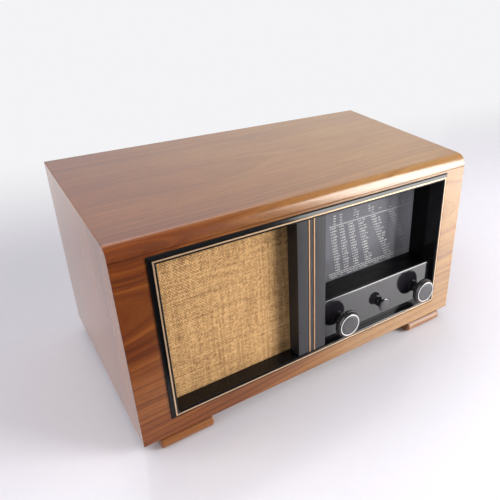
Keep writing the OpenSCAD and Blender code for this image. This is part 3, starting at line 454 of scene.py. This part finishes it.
def builtMesh(made):
    return bpy.data.meshes.new_from_object(made.evaluated_get(bpy.context.evaluated_depsgraph_get()))


def smoothed(made, kind):
    made.data.polygons.foreach_set("use_smooth", [True] * len(made.data.polygons))
    made.data.set_sharp_from_angle(angle=math.radians(sharp[kind]))
    return made


def flatShaded(made):
    smoothed(made, "piece").modifiers.new("flatFaces", "WEIGHTED_NORMAL").keep_sharp = True
    return made


def settle(made, body, replaced, slot, *finishes):
    for finish in finishes:
        made.data.materials.append(finish)
    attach(made, body)
    if replaced:
        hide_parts(*replaced)
    return made


def cleaned(data):
    work = bmesh.new()
    work.from_mesh(data)
    bmesh.ops.remove_doubles(work, verts=work.verts, dist=weld)
    bmesh.ops.dissolve_limit(work, angle_limit=math.radians(flatness), verts=work.verts, edges=work.edges)
    return work


def bevelled(work, edges, width, segments):
    return bmesh.ops.bevel(work, geom=edges, offset=width * mm, offset_type="OFFSET", segments=segments,
                           profile=0.5, affect="EDGES", clamp_overlap=True, material=-1)


def rounded(work, width, segments=2, angle=28, worn=None):
    edges = [e for e in work.edges if len(e.link_faces) == 2 and e.calc_face_angle(0) > math.radians(angle)]
    made = bevelled(work, edges, width, segments)
    if worn:
        layer = work.faces.layers.float.new("edge")
        for face in made["faces"]:
            if face.is_valid:
                face[layer] = worn
    return work


def softNode(node, width, finish, segments=2, worn=None):
    work = rounded(cleaned(nodes[node].data), width, segments, worn=worn)
    return settle(flatShaded(addObject(node + "Piece", work)), "cabinet", [node], node, finish)


def turned(points, segments):
    work = bmesh.new()
    ring = [work.verts.new((r, 0, w)) for r, w in points]
    line = [work.edges.new(pair) for pair in zip(ring, ring[1:])]
    bmesh.ops.spin(work, geom=ring + line, cent=(0, 0, 0), axis=(0, 0, 1), angle=2 * math.pi,
                   steps=segments, use_merge=True)
    bmesh.ops.remove_doubles(work, verts=work.verts, dist=1e-5)  # the points on the axis
    bmesh.ops.recalc_face_normals(work, faces=work.faces)
    return work


# wooden case: four boards under one veneer

caseParts = {"boards": ["top_board", "left_side", "right_side", "front_panel"],
             "edge": 0.8, "segments": 3, "corner": 50, "worn": 1.0,
             # bare wood starts this far in from the outside, and from the nose
             "skin": 11, "nose": 22,
             # how far a face looks forwards, backwards or sideways before it takes another finish
             "forwards": -0.3, "backwards": 0.9, "sideways": 0.72}


def caseFinish(face, low, high):
    size, c, n = caseParts, face.calc_center_median(), face.normal
    skin, nose = size["skin"] * mm, size["nose"] * mm
    within = abs(c.x) < high.x - skin and c.z < high.z - skin and c.y > low.y + nose
    if within and size["forwards"] < n.y < size["backwards"] or n.y > size["backwards"] and c.y < 0:
        return 2
    return 1 if abs(n.x) > size["sideways"] else 0


def makeCase():
    case, *others = [addObject("case_" + node, cleaned(nodes[node].data)) for node in caseParts["boards"]]
    for board in others:
        union = case.modifiers.new("union", "BOOLEAN")
        union.operation, union.object, union.solver = "UNION", board, "EXACT"
        shape = builtMesh(case)
        case.modifiers.clear()
        case.data = shape
        bpy.data.objects.remove(board)
    work = cleaned(case.data)
    rounded(work, caseParts["edge"], caseParts["segments"], caseParts["corner"], caseParts["worn"])
    low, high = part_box("top_board")
    for face in work.faces:
        face.material_index = caseFinish(face, low, high)
    case.data = bpy.data.meshes.new("case")
    work.to_mesh(case.data)
    work.free()
    case.name = "walnutCase"
    flatShaded(case)
    return settle(case, "cabinet", caseParts["boards"], "top_board", walnutFront, walnutSide, rawWood)


print("case")
makeCase()
softNode("bottom_board", 0.5, rawWood)
softNode("front_feet", 2.6, walnutFoot, segments=5, worn=0.8)
softNode("rear_feet", 1.8, walnutFoot, segments=4, worn=0.8)
softNode("back_cover", 0.25, backBoard)

# black fascia and its gilt lines

controlPanel = {"brow": 2.4, "browSegments": 5, "edge": 0.5, "near": 0.1}


def makePanel():
    # the panel's upper front edge is rounded more than the rest, and catches the light
    work = cleaned(nodes["control_panel"].data)
    toFront = frontPlace.inverted()
    at = {vert: toFront @ vert.co for vert in work.verts}
    top, face = (max(p[axis] for p in at.values()) - controlPanel["near"] for axis in (1, 2))
    brow = [e for e in work.edges if all(at[v].y > top and at[v].z > face for v in e.verts)]
    bevelled(work, brow, controlPanel["brow"], controlPanel["browSegments"])
    rounded(work, controlPanel["edge"])
    made = flatShaded(addObject("control_panelPiece", work))
    return settle(made, "cabinet", ["control_panel"], "control_panel", blackPanel)


print("fascia")
softNode("fascia_frame", 0.3, blackGloss)
softNode("frame_gilt", 0.22, gilt)
softNode("post", 0.35, blackPost)
softNode("post_gilt", 0.15, coppery)
makePanel()
softNode("dial_ledge", 0.15, blackRecess)
softNode("dial_recess", 0.3, blackRecess)

# speaker cloth, a plain weave of thick yarn, stretched over the baffle board

cloth = {"left": -202.0, "right": -34.0, "low": 25.9, "high": 216.1, "face": -18.04,
         "pitch": 1.75, "steps": 3, "rise": 0.34, "roundness": 0.7, "fullCrest": 0.9,
         # the yarns waver slowly, in noise per mm and parts of the pitch
         "seed": 4, "sway": (0.02, 0.02), "lift": (0.03, 0.012), "waver": 1.1, "waverBy": 0.12,
         # the warp is a paler yarn than the weft, and each float takes its own shade
         "warpTone": 0.46, "weftTone": 0.02, "shadeSpread": 0.54, "shades": 4096, "shadeSteps": (57, 131, 7)}


def waverAt(vert, scale, seed):
    return noise.noise(Vector((vert.co.x * scale[0], vert.co.y * scale[1], seed))) * cloth["waver"]


def makeCloth():
    width, height = cloth["right"] - cloth["left"], cloth["high"] - cloth["low"]
    pitch, step = cloth["pitch"], cloth["pitch"] / cloth["steps"]
    work = bmesh.new()
    place = Matrix.Translation((cloth["left"] + width / 2, cloth["low"] + height / 2, 0))
    bmesh.ops.create_grid(work, x_segments=round(width / step), y_segments=round(height / step), size=0.5,
                          matrix=place @ Matrix.Diagonal((width, height, 1, 1)))
    valley, stitch = (work.verts.layers.float.new(name) for name in ("valley", "stitch"))
    luck = random.Random(cloth["seed"])
    shades = [luck.random() for _ in range(cloth["shades"])]
    byColumn, byRow, byWarp = cloth["shadeSteps"]
    for vert in work.verts:
        sway = waverAt(vert, cloth["sway"], cloth["seed"])
        lift = waverAt(vert, cloth["lift"], cloth["seed"] + 9)
        x = (vert.co.x - cloth["left"]) / pitch + sway * cloth["waverBy"]
        v = (vert.co.y - cloth["low"]) / pitch + lift * cloth["waverBy"]
        column, row = math.floor(x), math.floor(v)
        over = 1 if (column + row) % 2 == 0 else -1
        # half of a yarn's height is its own round back, and half is its way over and under the next
        waveX, waveV = abs(math.sin(math.pi * x)), abs(math.sin(math.pi * v))
        warp = waveX ** cloth["roundness"] * 0.5 + over * 0.5 * waveV
        weft = waveV ** cloth["roundness"] * 0.5 - over * 0.5 * waveX
        crest = max(warp, weft, 0.0)
        vert[valley] = 1.0 - min(crest / cloth["fullCrest"], 1.0)
        tone, key = (cloth["warpTone"], byWarp) if warp > weft else (cloth["weftTone"], 0)
        shade = shades[(column * byColumn + row * byRow + key) % cloth["shades"]]
        vert[stitch] = tone + shade * cloth["shadeSpread"]
        vert.co.z = cloth["face"] - cloth["rise"] * (1.0 - crest)
    bmesh.ops.transform(work, matrix=frontPlace, verts=work.verts)
    made = smoothed(addObject("wovenCloth", work), "none")
    settle(made, "cabinet", ["speaker_cloth"], "speaker_cloth", clothFinish)


print("speaker cloth")
makeCloth()

# knobs, in mm in the front's own frame

bigKnob = {"x": {"loudnessKnob": 32.5, "stationKnob": 170.0}, "v": 57.3, "segments": 336, "gloss": 0.26,
           "bore": 3.0, "boreTop": 2, "neckRadius": 8.0, "neckBack": -2.7, "skirtRadius": 18.3,
           "skirtBack": 8.3, "bodyRadius": 17.0, "faceHeight": 16.3, "faceStep": 0.35, "faceDepth": 0.6,
           # each flute is a hollow whose centre stands a little outside the rim
           "flutes": 28, "fluteRadius": 1.7, "fluteOut": 0.3, "fluteDepth": 1.3, "fluteBand": (-0.1, 4.2),
           # the white ring lies in a groove of the face
           "grooveDepth": 0.8, "ringRadius": 14.8, "ringWidth": 1.2, "ringDepth": 0.78, "ringEdge": 0.12,
           "ringGap": 0.02, "ringSegments": 168}


def markFace(work, level, radius):
    # the brushed face takes the second finish
    for face in work.faces:
        c = face.calc_center_median()
        face.material_index = 1 if c.z > level and math.hypot(c.x, c.y) < radius else 0


def settleKnob(work, name, node, body, x, v, gloss):
    bmesh.ops.transform(work, matrix=frontAt(x, v), verts=work.verts)
    made = smoothed(addObject(name, work), "knob")
    settle(made, body, [node], node, knobBlack, brushedFace(name + "Face", frontPoint(x, v), gloss))


def cutFlutes(work, size):
    rim, back, radius = size["skirtRadius"], size["skirtBack"], size["fluteRadius"]
    low, high = size["fluteBand"]
    reach, step = rim + size["fluteOut"], 2 * math.pi / size["flutes"]
    for vert in work.verts:
        r = math.hypot(vert.co.x, vert.co.y)
        if r > rim - size["fluteDepth"] and back + low < vert.co.z < back + high:
            off = (math.atan2(vert.co.y, vert.co.x) + step / 2) % step - step / 2
            side = reach * math.sin(off)
            if abs(side) < radius:
                limit = reach * math.cos(off) - math.sqrt(radius ** 2 - side ** 2)
                if r > limit:
                    vert.co.x *= limit / r
                    vert.co.y *= limit / r


def makeBigKnob(name, node, ringNode, body):
    size = bigKnob
    x, v, top, back = size["x"][name], size["v"], size["faceHeight"], size["skirtBack"]
    bore, neck, foot, deep = size["bore"], size["neckRadius"], size["neckBack"], top - size["boreTop"]
    rim, wall = size["skirtRadius"], size["bodyRadius"]
    outer, inner, face = size["ringRadius"], size["ringRadius"] - size["ringWidth"], top - size["faceStep"]
    gap, edge, floor = size["ringGap"], size["ringEdge"], top - size["grooveDepth"]
    shaft = [(bore, deep), (bore, foot), (neck - 0.4, foot), (neck, foot + 0.4), (neck, back)]
    skirt = [(rim - 0.9, back), (rim - 0.3, back + 0.2), (rim, back + 0.7), (rim, back + 1.6),
             (rim, back + 2.6), (rim - 0.1, back + 3.3), (rim - 0.5, back + 3.8), (rim - 1.2, back + 4.05)]
    waist = [(wall, back + 4.4), (wall - 0.4, back + 6.0), (wall - 0.75, top - 1.3), (wall - 0.95, top - 0.7),
             (wall - 1.2, top - 0.25), (wall - 1.7, top)]
    groove = [(outer, top), (outer, floor), (inner, floor), (inner, top - 0.5)]
    dish = [(inner - 0.2, face), (9.0, face), (4.0, face), (0.0, face), (0.0, deep), (bore, deep)]
    work = turned(shaft + skirt + waist + groove + dish, size["segments"])
    cutFlutes(work, size)
    markFace(work, top - size["faceDepth"], inner)
    settleKnob(work, name, node, body, x, v, size["gloss"])
    low, shoulder = top - size["ringDepth"], top - edge
    work = turned([(inner + gap, low), (outer - gap, low), (outer - gap, shoulder), (outer - edge, top),
                   (inner + edge, top), (inner + gap, shoulder), (inner + gap, low)], size["ringSegments"])
    bmesh.ops.transform(work, matrix=frontAt(x, v), verts=work.verts)
    settle(smoothed(addObject(ringNode + "Piece", work), "knob"), body, [ringNode], ringNode, whiteRing)


smallKnob = {"x": 101.25, "v": 57.3, "segments": 168, "gloss": 0.24, "bore": 3.0, "boreTop": 2,
             "radius": 9.6, "height": 7.7, "neck": 6.4, "foot": -3.2, "faceDepth": 0.7, "faceEdge": 1.0}


def makeSmallKnob():
    size = smallKnob
    r, top, neck, foot = size["radius"], size["height"], size["neck"], size["foot"]
    bore, deep = size["bore"], top - size["boreTop"]
    collar = [(bore, deep), (bore, foot), (6.6, foot), (6.9, foot + 0.3), (6.7, foot + 1.1),
              (6.5, foot + 2.2)]
    flare = [(neck, top - 6.4), (neck + 0.1, top - 5.6), (neck + 0.5, top - 4.7), (neck + 1.3, top - 3.7)]
    rim = [(r - 1.4, top - 2.95), (r - 0.5, top - 2.55), (r - 0.1, top - 2.2), (r, top - 1.8),
           (r - 0.1, top - 1.3), (r - 0.4, top - 0.85), (r - 1.2, top - 0.5), (r - 2.6, top - 0.25)]
    crown = [(4.5, top - 0.1), (2.0, top - 0.02), (0.0, top), (0.0, deep), (bore, deep)]
    work = turned(collar + flare + rim + crown, size["segments"])
    markFace(work, top - size["faceDepth"], r - size["faceEdge"])
    settleKnob(work, "bandKnob", "selector_knob", "selector", size["x"], size["v"], size["gloss"])


print("knobs")
makeBigKnob("loudnessKnob", "volume_knob", "volume_ring", "volume")
makeBigKnob("stationKnob", "tuning_knob", "tuning_ring", "tuning_control")
makeSmallKnob()

# dial glass and the figures printed on it

glassLook = {"ground": (0.150, 0.150, 0.170), "film": (0.3, 0.7, 0.20, 0.26),
             "hazeGreys": [(0.3, 0.9), (0.7, 1.08)],
             # the ground is painted paler towards the right edge, painted light where the recess's right wall
             # shades the glass; from and to in metres
             "paintedLightGround": (0.66, 0.66, 0.72), "paintedLightFrom": 0.152, "paintedLightTo": 0.194}

dial = {
    "face": -46.9, "seed": 11, "left": 6.0, "right": 197.5,
    # left edge of each column at its top and bottom row, and the longest and shortest of its rows, in mm
    "columns": [(17.5, 29.0, 10, 9), (50.2, 60.8, 11.5, 9), (65.4, 75.8, 11.5, 9), (80.2, 92.7, 12, 10),
                (96.8, 113.6, 14, 11), (119.9, 149.2, 17, 12), (152.6, 187.5, 15, 10)],
    # a row that is left out, by its column's first number
    "empty": (152.6, 11),
    # the print is in two blocks with a bare strip between them
    "bare": (39.0, 47.0),
    "rowTop": 162.0, "rowPitch": 4.2, "rows": 16, "rowHeight": 2.5, "rowShrink": 0.85, "rowMargin": 1,
    "dash": (2.2, 1.1), "dashUp": 0.45, "dashTall": 1.0,
    # size and advance of a figure, and width of a space, in heights
    "figureSize": 1.36, "figureStep": 0.80, "space": 0.5,
    # height and thickness of the rules, and how far they end from the print's edges
    "rules": [(166.2, 0.45), (96.6, 0.4), (93.4, 0.4)], "ruleEnds": (2, 3),
    # left edge, top and rows of the groups of small figures
    "groups": [(53.0, 179.5, 4), (63.5, 179.0, 4), (87.0, 180.0, 3), (92.0, 176.5, 3), (112.5, 180.0, 3),
               (118.5, 176.5, 3), (132.5, 172.0, 1), (152.0, 169.8, 1), (175.0, 172.0, 1), (189.5, 178.0, 3)],
    "groupPitch": 3.7, "smallHeight": 1.9,
    # marks at the foot, some with a number below
    "footMarks": 34, "footPitch": 5.6, "footEnds": (6, 4), "footBar": (0.35, 95.0, 2.2),
    "footNumbered": 0.55, "footNumber": (-1.5, 89.6),
    # rows of marks: edges of the first, pitch, count, place, height, and height of each fifth
    "marks": [((48, 48.3), 3.9, 38, 167.4, 1.6, 2.6), ((132, 133.1), 3.1, 14, 193.5, 0.7, 0.7)]}


def smokedGround(name, look):
    made, tree, shader = newMaterial(name, {
        "Transmission Weight": 0.05, "IOR": 1.5, "Specular IOR Level": 0.13})
    film = noiseOf(tree, placed(tree), 14.0, 3, 0.6)
    haze = noiseOf(tree, placed(tree), 420.0, 3, 0.6)
    # painted light: the ground turns paler across the right wall's shadow on the glass
    pale = mapRange(tree, partOf(tree, objectPoint(tree), "X"), look["paintedLightFrom"], look["paintedLightTo"])
    ground = blendColour(tree, pale, look["ground"], look["paintedLightGround"])
    ground = greyed(tree, ground, haze, look["hazeGreys"])
    feed(tree, shader, colour=ground, roughness=mapRange(tree, film, *look["film"]))
    return made


def printedInk(name, worn, fresh):
    made, tree, shader = newMaterial(name, {"Roughness": 0.5})
    wear = noiseOf(tree, placed(tree), 900.0, 3, 0.6)
    feed(tree, shader, colour=colourRamp(tree, wear, [(0.3, worn), (0.6, fresh)]))
    return made


def digitShapes():
    shapes = {}
    for figure in "0123456789":
        font = bpy.data.curves.new("figure", "FONT")
        font.body = figure
        font.size = 1.0
        font.resolution_u = 2
        holder = newObject("figure", font)
        shapes[figure] = builtMesh(holder)
        bpy.data.objects.remove(holder)
    return shapes


def printFigures(work, shapes, words, x, v, height):
    size = height * dial["figureSize"]
    for letter in words:
        if letter == " ":
            x += height * dial["space"]
            continue
        before = len(work.verts)
        work.from_mesh(shapes[letter])
        work.verts.ensure_lookup_table()
        bmesh.ops.transform(work, verts=work.verts[before:],
                            matrix=Matrix.Translation((x, v, 0)) @ Matrix.Diagonal((size, size, 1, 1)))
        x += height * dial["figureStep"]


def printBar(work, left, right, v, tall):
    place = Matrix.Translation(((left + right) / 2, v, 0)) @ Matrix.Diagonal((right - left, tall, 1, 1))
    bmesh.ops.create_grid(work, x_segments=1, y_segments=1, size=0.5, matrix=place)


def rowFigures(luck, length):
    figures = max(int(length / (dial["rowHeight"] * dial["figureStep"])) - 1, 3)
    words = "".join(luck.choice("0123456789") for _ in range(figures))
    if figures > 4:
        cut = luck.choice([3, 4]) if figures > 5 else 2
        words = words[:cut] + " " + words[cut:]
    return luck.choice("123456789") + words[1:]


def printColumns(work, shapes, luck):
    height = dial["rowHeight"]
    for first, last, longest, shortest in dial["columns"]:
        for row in range(dial["rows"]):
            if (first, row) == dial["empty"]:
                continue
            x = first + (last - first) * (row / (dial["rows"] - 1))
            v = dial["rowTop"] - row * dial["rowPitch"]
            length = luck.uniform(shortest * dial["rowShrink"], longest)
            words = rowFigures(luck, min(length, dial["right"] - dial["rowMargin"] - x))
            printFigures(work, shapes, words, x, v, height)
            start, end = dial["dash"]
            printBar(work, x - start, x - end, v + height * dial["dashUp"], dial["dashTall"])


def printRules(work):
    start, end = dial["ruleEnds"]
    for v, thick in dial["rules"]:
        printBar(work, dial["left"] + start, dial["bare"][0], v, thick)
        printBar(work, dial["bare"][1], dial["right"] - end, v, thick)


def printGroups(work, shapes, luck):
    for x, v, rows in dial["groups"]:
        for row in range(rows):
            words = str(luck.randint(12, 999))
            printFigures(work, shapes, words, x, v - row * dial["groupPitch"], dial["smallHeight"])


def printFoot(work, shapes, luck):
    (start, end), (wide, barV, tall), (aside, numberV) = dial["footEnds"], dial["footBar"], dial["footNumber"]
    for k in range(dial["footMarks"]):
        x = dial["left"] + start + k * dial["footPitch"]
        if dial["bare"][0] < x < dial["bare"][1] or x > dial["right"] - end:
            continue
        printBar(work, x, x + wide, barV, tall)
        if luck.random() < dial["footNumbered"]:
            words = str(luck.randint(5, 200) * 10)
            printFigures(work, shapes, words, x + aside, numberV, dial["smallHeight"])


def printMarks(work):
    for (left, right), pitch, count, v, tall, fifth in dial["marks"]:
        for k in range(count):
            printBar(work, left + k * pitch, right + k * pitch, v, tall if k % 5 else fifth)


def makeDialPrint():
    luck = random.Random(dial["seed"])
    shapes = digitShapes()
    work = bmesh.new()
    printColumns(work, shapes, luck)
    printRules(work)
    printGroups(work, shapes, luck)
    printFoot(work, shapes, luck)
    printMarks(work)
    bmesh.ops.transform(work, matrix=frontPlace @ Matrix.Translation((0, 0, dial["face"])), verts=work.verts)
    settle(addObject("dialPrint", work), "cabinet", [], "dial_glass", dialInk)


print("dial")
smokedGlass = smokedGround("smokedGlass", glassLook)
dialInk = printedInk("dialInk", worn=(0.80, 0.79, 0.78), fresh=(0.97, 0.96, 0.93))
softNode("dial_glass", 0.25, smokedGlass)
makeDialPrint()

# pieces inside, as the CAD has them

innerFinishes = {
    "glue_blocks": rawWood, "baffle_board": plywood, "speaker_basket": darkIron, "speaker_magnet": darkIron,
    "speaker_cone": paperCone, "voice_coil": copperWire, "dust_cap": paperCone, "glass_clips": zinc,
    "dial_backplate": dialPaint, "dial_lamps": brass, "lamp_holders": zinc, "pointer": pointerRed,
    "pointer_carriage": zinc, "left_pulley": brass, "right_pulley": brass, "drive_drum": castAluminium,
    "drum_spring": brightSteel, "capacitor_frame": zinc, "capacitor_stator": castAluminium,
    "capacitor_rotor": castAluminium, "volume_shaft": brightSteel, "volume_control": zinc,
    "selector_shaft": brightSteel, "band_switch": paxolin, "tuning_spindle": brightSteel,
    "tuning_bush": brass, "chassis": zinc, "chassis_screws": brightSteel, "mains_transformer": darkIron,
    "output_transformer": darkIron, "valve_sockets": bakelite, "small_valves": bakelite,
    "power_valves": bakelite, "if_cans": castAluminium, "filter_capacitor": castAluminium,
    "aerial_strip": paxolin, "mains_inlet": bakelite}

print("inner pieces")
for node, finish in innerFinishes.items():
    nodes[node].data.materials.clear()
    nodes[node].data.materials.append(finish)


def makeCord():
    # rounder than its CAD tube
    made = smoothed(addObject("braidedCord", cleaned(nodes["drive_cord"].data)), "none")
    rounder = made.modifiers.new("rounder", "SUBSURF")
    rounder.levels = rounder.render_levels = 1
    settle(made, "cabinet", ["drive_cord"], "drive_cord", cordYarn)


print("drive cord")
makeCord()

# floor, light and camera, in metres

stage = {"floor": (0.70, 0.685, 0.735), "gloss": 0.16, "toothDark": 0.985,
         "front": -3.0, "depth": 1.5, "sweep": 0.7, "sweepSteps": 12, "wall": 3.0, "half": 3.2,
         # far behind the radio the paper turns pale
         "far": (0.90, 0.90, 0.915), "farWay": (0.10, 0.94, 0.3), "fadeFrom": 0.25, "fadeTo": 0.80,
         # ahead of the radio, out of the picture, it turns dark
         "past": (0.02, 0.02, 0.022), "pastWay": (-0.45, -0.89, 0.0), "edge": 0.318, "edgeEnd": 0.35}


def sweepShape():
    depth, sweep, steps = stage["depth"], stage["sweep"], stage["sweepSteps"]
    profile = [(stage["front"], 0.0), (depth, 0.0)]
    for k in range(1, steps + 1):
        turn = math.radians(90 * k / steps)
        profile.append((depth + sweep * math.sin(turn), sweep * (1 - math.cos(turn))))
    profile.append((depth + sweep, stage["wall"]))
    work = bmesh.new()
    line = [work.verts.new((-stage["half"], y, z)) for y, z in profile]
    edges = [work.edges.new(pair) for pair in zip(line, line[1:])]
    swept = bmesh.ops.extrude_edge_only(work, edges=edges)
    fresh = [g for g in swept["geom"] if isinstance(g, bmesh.types.BMVert)]
    bmesh.ops.translate(work, vec=(2 * stage["half"], 0, 0), verts=fresh)
    bmesh.ops.recalc_face_normals(work, faces=work.faces)
    return work


def paperFinish():
    made, tree, shader = newMaterial("paper", {"Roughness": stage["gloss"]})
    tooth = noiseOf(tree, placed(tree), 60.0, 3, 0.6)
    dark = tuple(c * stage["toothDark"] for c in stage["floor"])
    floor = colourRamp(tree, tooth, [(0.3, dark), (0.7, stage["floor"])])
    path, there = addNode(tree, "LightPath"), objectPoint(tree)
    # only gloss and light find the floor dark ahead of the radio
    ahead = vectorCalc(tree, "DOT_PRODUCT", there, stage["pastWay"])
    past = calc(tree, "MULTIPLY", mapRange(tree, ahead, stage["edge"], stage["edgeEnd"]),
                calc(tree, "SUBTRACT", 1.0, path.outputs["Is Camera Ray"]))
    floor = blendColour(tree, past, floor, stage["past"])
    feed(tree, shader, colour=floor, normal=bumpOf(tree, tooth, strength=0.05, distance=0.0004))
    # far off it is pale to the camera and in gloss, and the shadow close by stays
    seen = calc(tree, "MAXIMUM", path.outputs["Is Camera Ray"], path.outputs["Is Glossy Ray"])
    seen = calc(tree, "MAXIMUM", seen, path.outputs["Is Transmission Ray"])
    away = vectorCalc(tree, "DOT_PRODUCT", there, stage["farWay"])
    away = mapRange(tree, away, stage["fadeFrom"], stage["fadeTo"], ease="SMOOTHSTEP")
    glow = addNode(tree, "Emission", {"Color": (*stage["far"], 1), "Strength": 1.0})
    mixed = addNode(tree, "MixShader", {
        0: calc(tree, "MULTIPLY", seen, away), 1: shader.outputs[0], 2: glow.outputs[0]})
    tree.links.new(mixed.outputs[0], tree.nodes["Material Output"].inputs["Surface"])
    return made


def makeStage():
    made = smoothed(addObject("paperSweep", sweepShape()), "paper")
    made.data.materials.append(paperFinish())


windowLight = {"place": (1.14, -1.10, 0.71), "aim": (0.0, -0.12, 0.71), "size": (0.70, 1.38), "watts": 43.0,
               "colour": (1.0, 0.985, 0.965)}


def makeWindow():
    data = bpy.data.lights.new("window", "AREA")
    data.shape = "RECTANGLE"
    data.size, data.size_y = windowLight["size"]
    data.energy = windowLight["watts"]
    data.color = windowLight["colour"]
    made = newObject("window", data)
    made.visible_camera = False
    place, aim = Vector(windowLight["place"]), Vector(windowLight["aim"])
    turn = (aim - place).to_track_quat("-Z", "Y").to_matrix().to_4x4()
    made.matrix_world = Matrix.Translation(place) @ turn


# the room is dim in front, and brighter in wide patches behind and at the left
room = {"colour": (0.985, 0.985, 1.0), "plain": 0.62, "dim": 0.12, "front": (-0.15, -0.80, 0.55),
        "frontFade": (0.15, 0.95), "patches": [((-0.15, 0.85, 0.52), 2.6), ((-0.92, 0.15, 0.36), 1.65)],
        "patchFade": (0.55, 0.90)}


def makeRoom():
    world = bpy.data.worlds.new("room")
    bpy.context.scene.world = world
    world.use_nodes = True
    tree = world.node_tree
    towards = addNode(tree, "TexCoord").outputs["Generated"]
    level = vectorCalc(tree, "DOT_PRODUCT", towards, Vector(room["front"]).normalized())
    level = mapRange(tree, level, *room["frontFade"], room["plain"], room["dim"], "SMOOTHSTEP")
    for way, strength in room["patches"]:
        near = vectorCalc(tree, "DOT_PRODUCT", towards, Vector(way).normalized())
        near = mapRange(tree, near, *room["patchFade"], 0.0, strength, "SMOOTHSTEP")
        level = calc(tree, "ADD", level, near)
    sky = tree.nodes["Background"]
    sky.inputs["Color"].default_value = (*room["colour"], 1)
    tree.links.new(level, sky.inputs["Strength"])


camera = {"place": (-0.3230, -0.498074, 0.4860), "azimuth": -34.97, "elevation": 31.23, "roll": 2.23,
          "lens": 36.39, "sensor": 36.0, "shift": -0.074, "near": 0.01}


def makeCamera():
    a, e, r = (math.radians(camera[k]) for k in ("azimuth", "elevation", "roll"))
    back = Vector((math.sin(a) * math.cos(e), -math.cos(a) * math.cos(e), math.sin(e)))
    right = (-back).cross(Vector((0, 0, 1))).normalized()
    up = right.cross(-back).normalized()
    across = right * math.cos(r) + up * math.sin(r)
    above = up * math.cos(r) - right * math.sin(r)
    data = bpy.data.cameras.new("camera")
    data.lens, data.sensor_width, data.shift_x = camera["lens"], camera["sensor"], camera["shift"]
    data.clip_start = camera["near"]
    made = newObject("camera", data)
    made.matrix_world = Matrix.Translation(camera["place"]) @ Matrix(
        [[across[i], above[i], back[i]] for i in range(3)]).to_4x4()
    bpy.context.scene.camera = made


print("stage, light and camera")
makeStage()
makeWindow()
makeRoom()
makeCamera()
bpy.context.scene.view_settings.view_transform = "Standard"
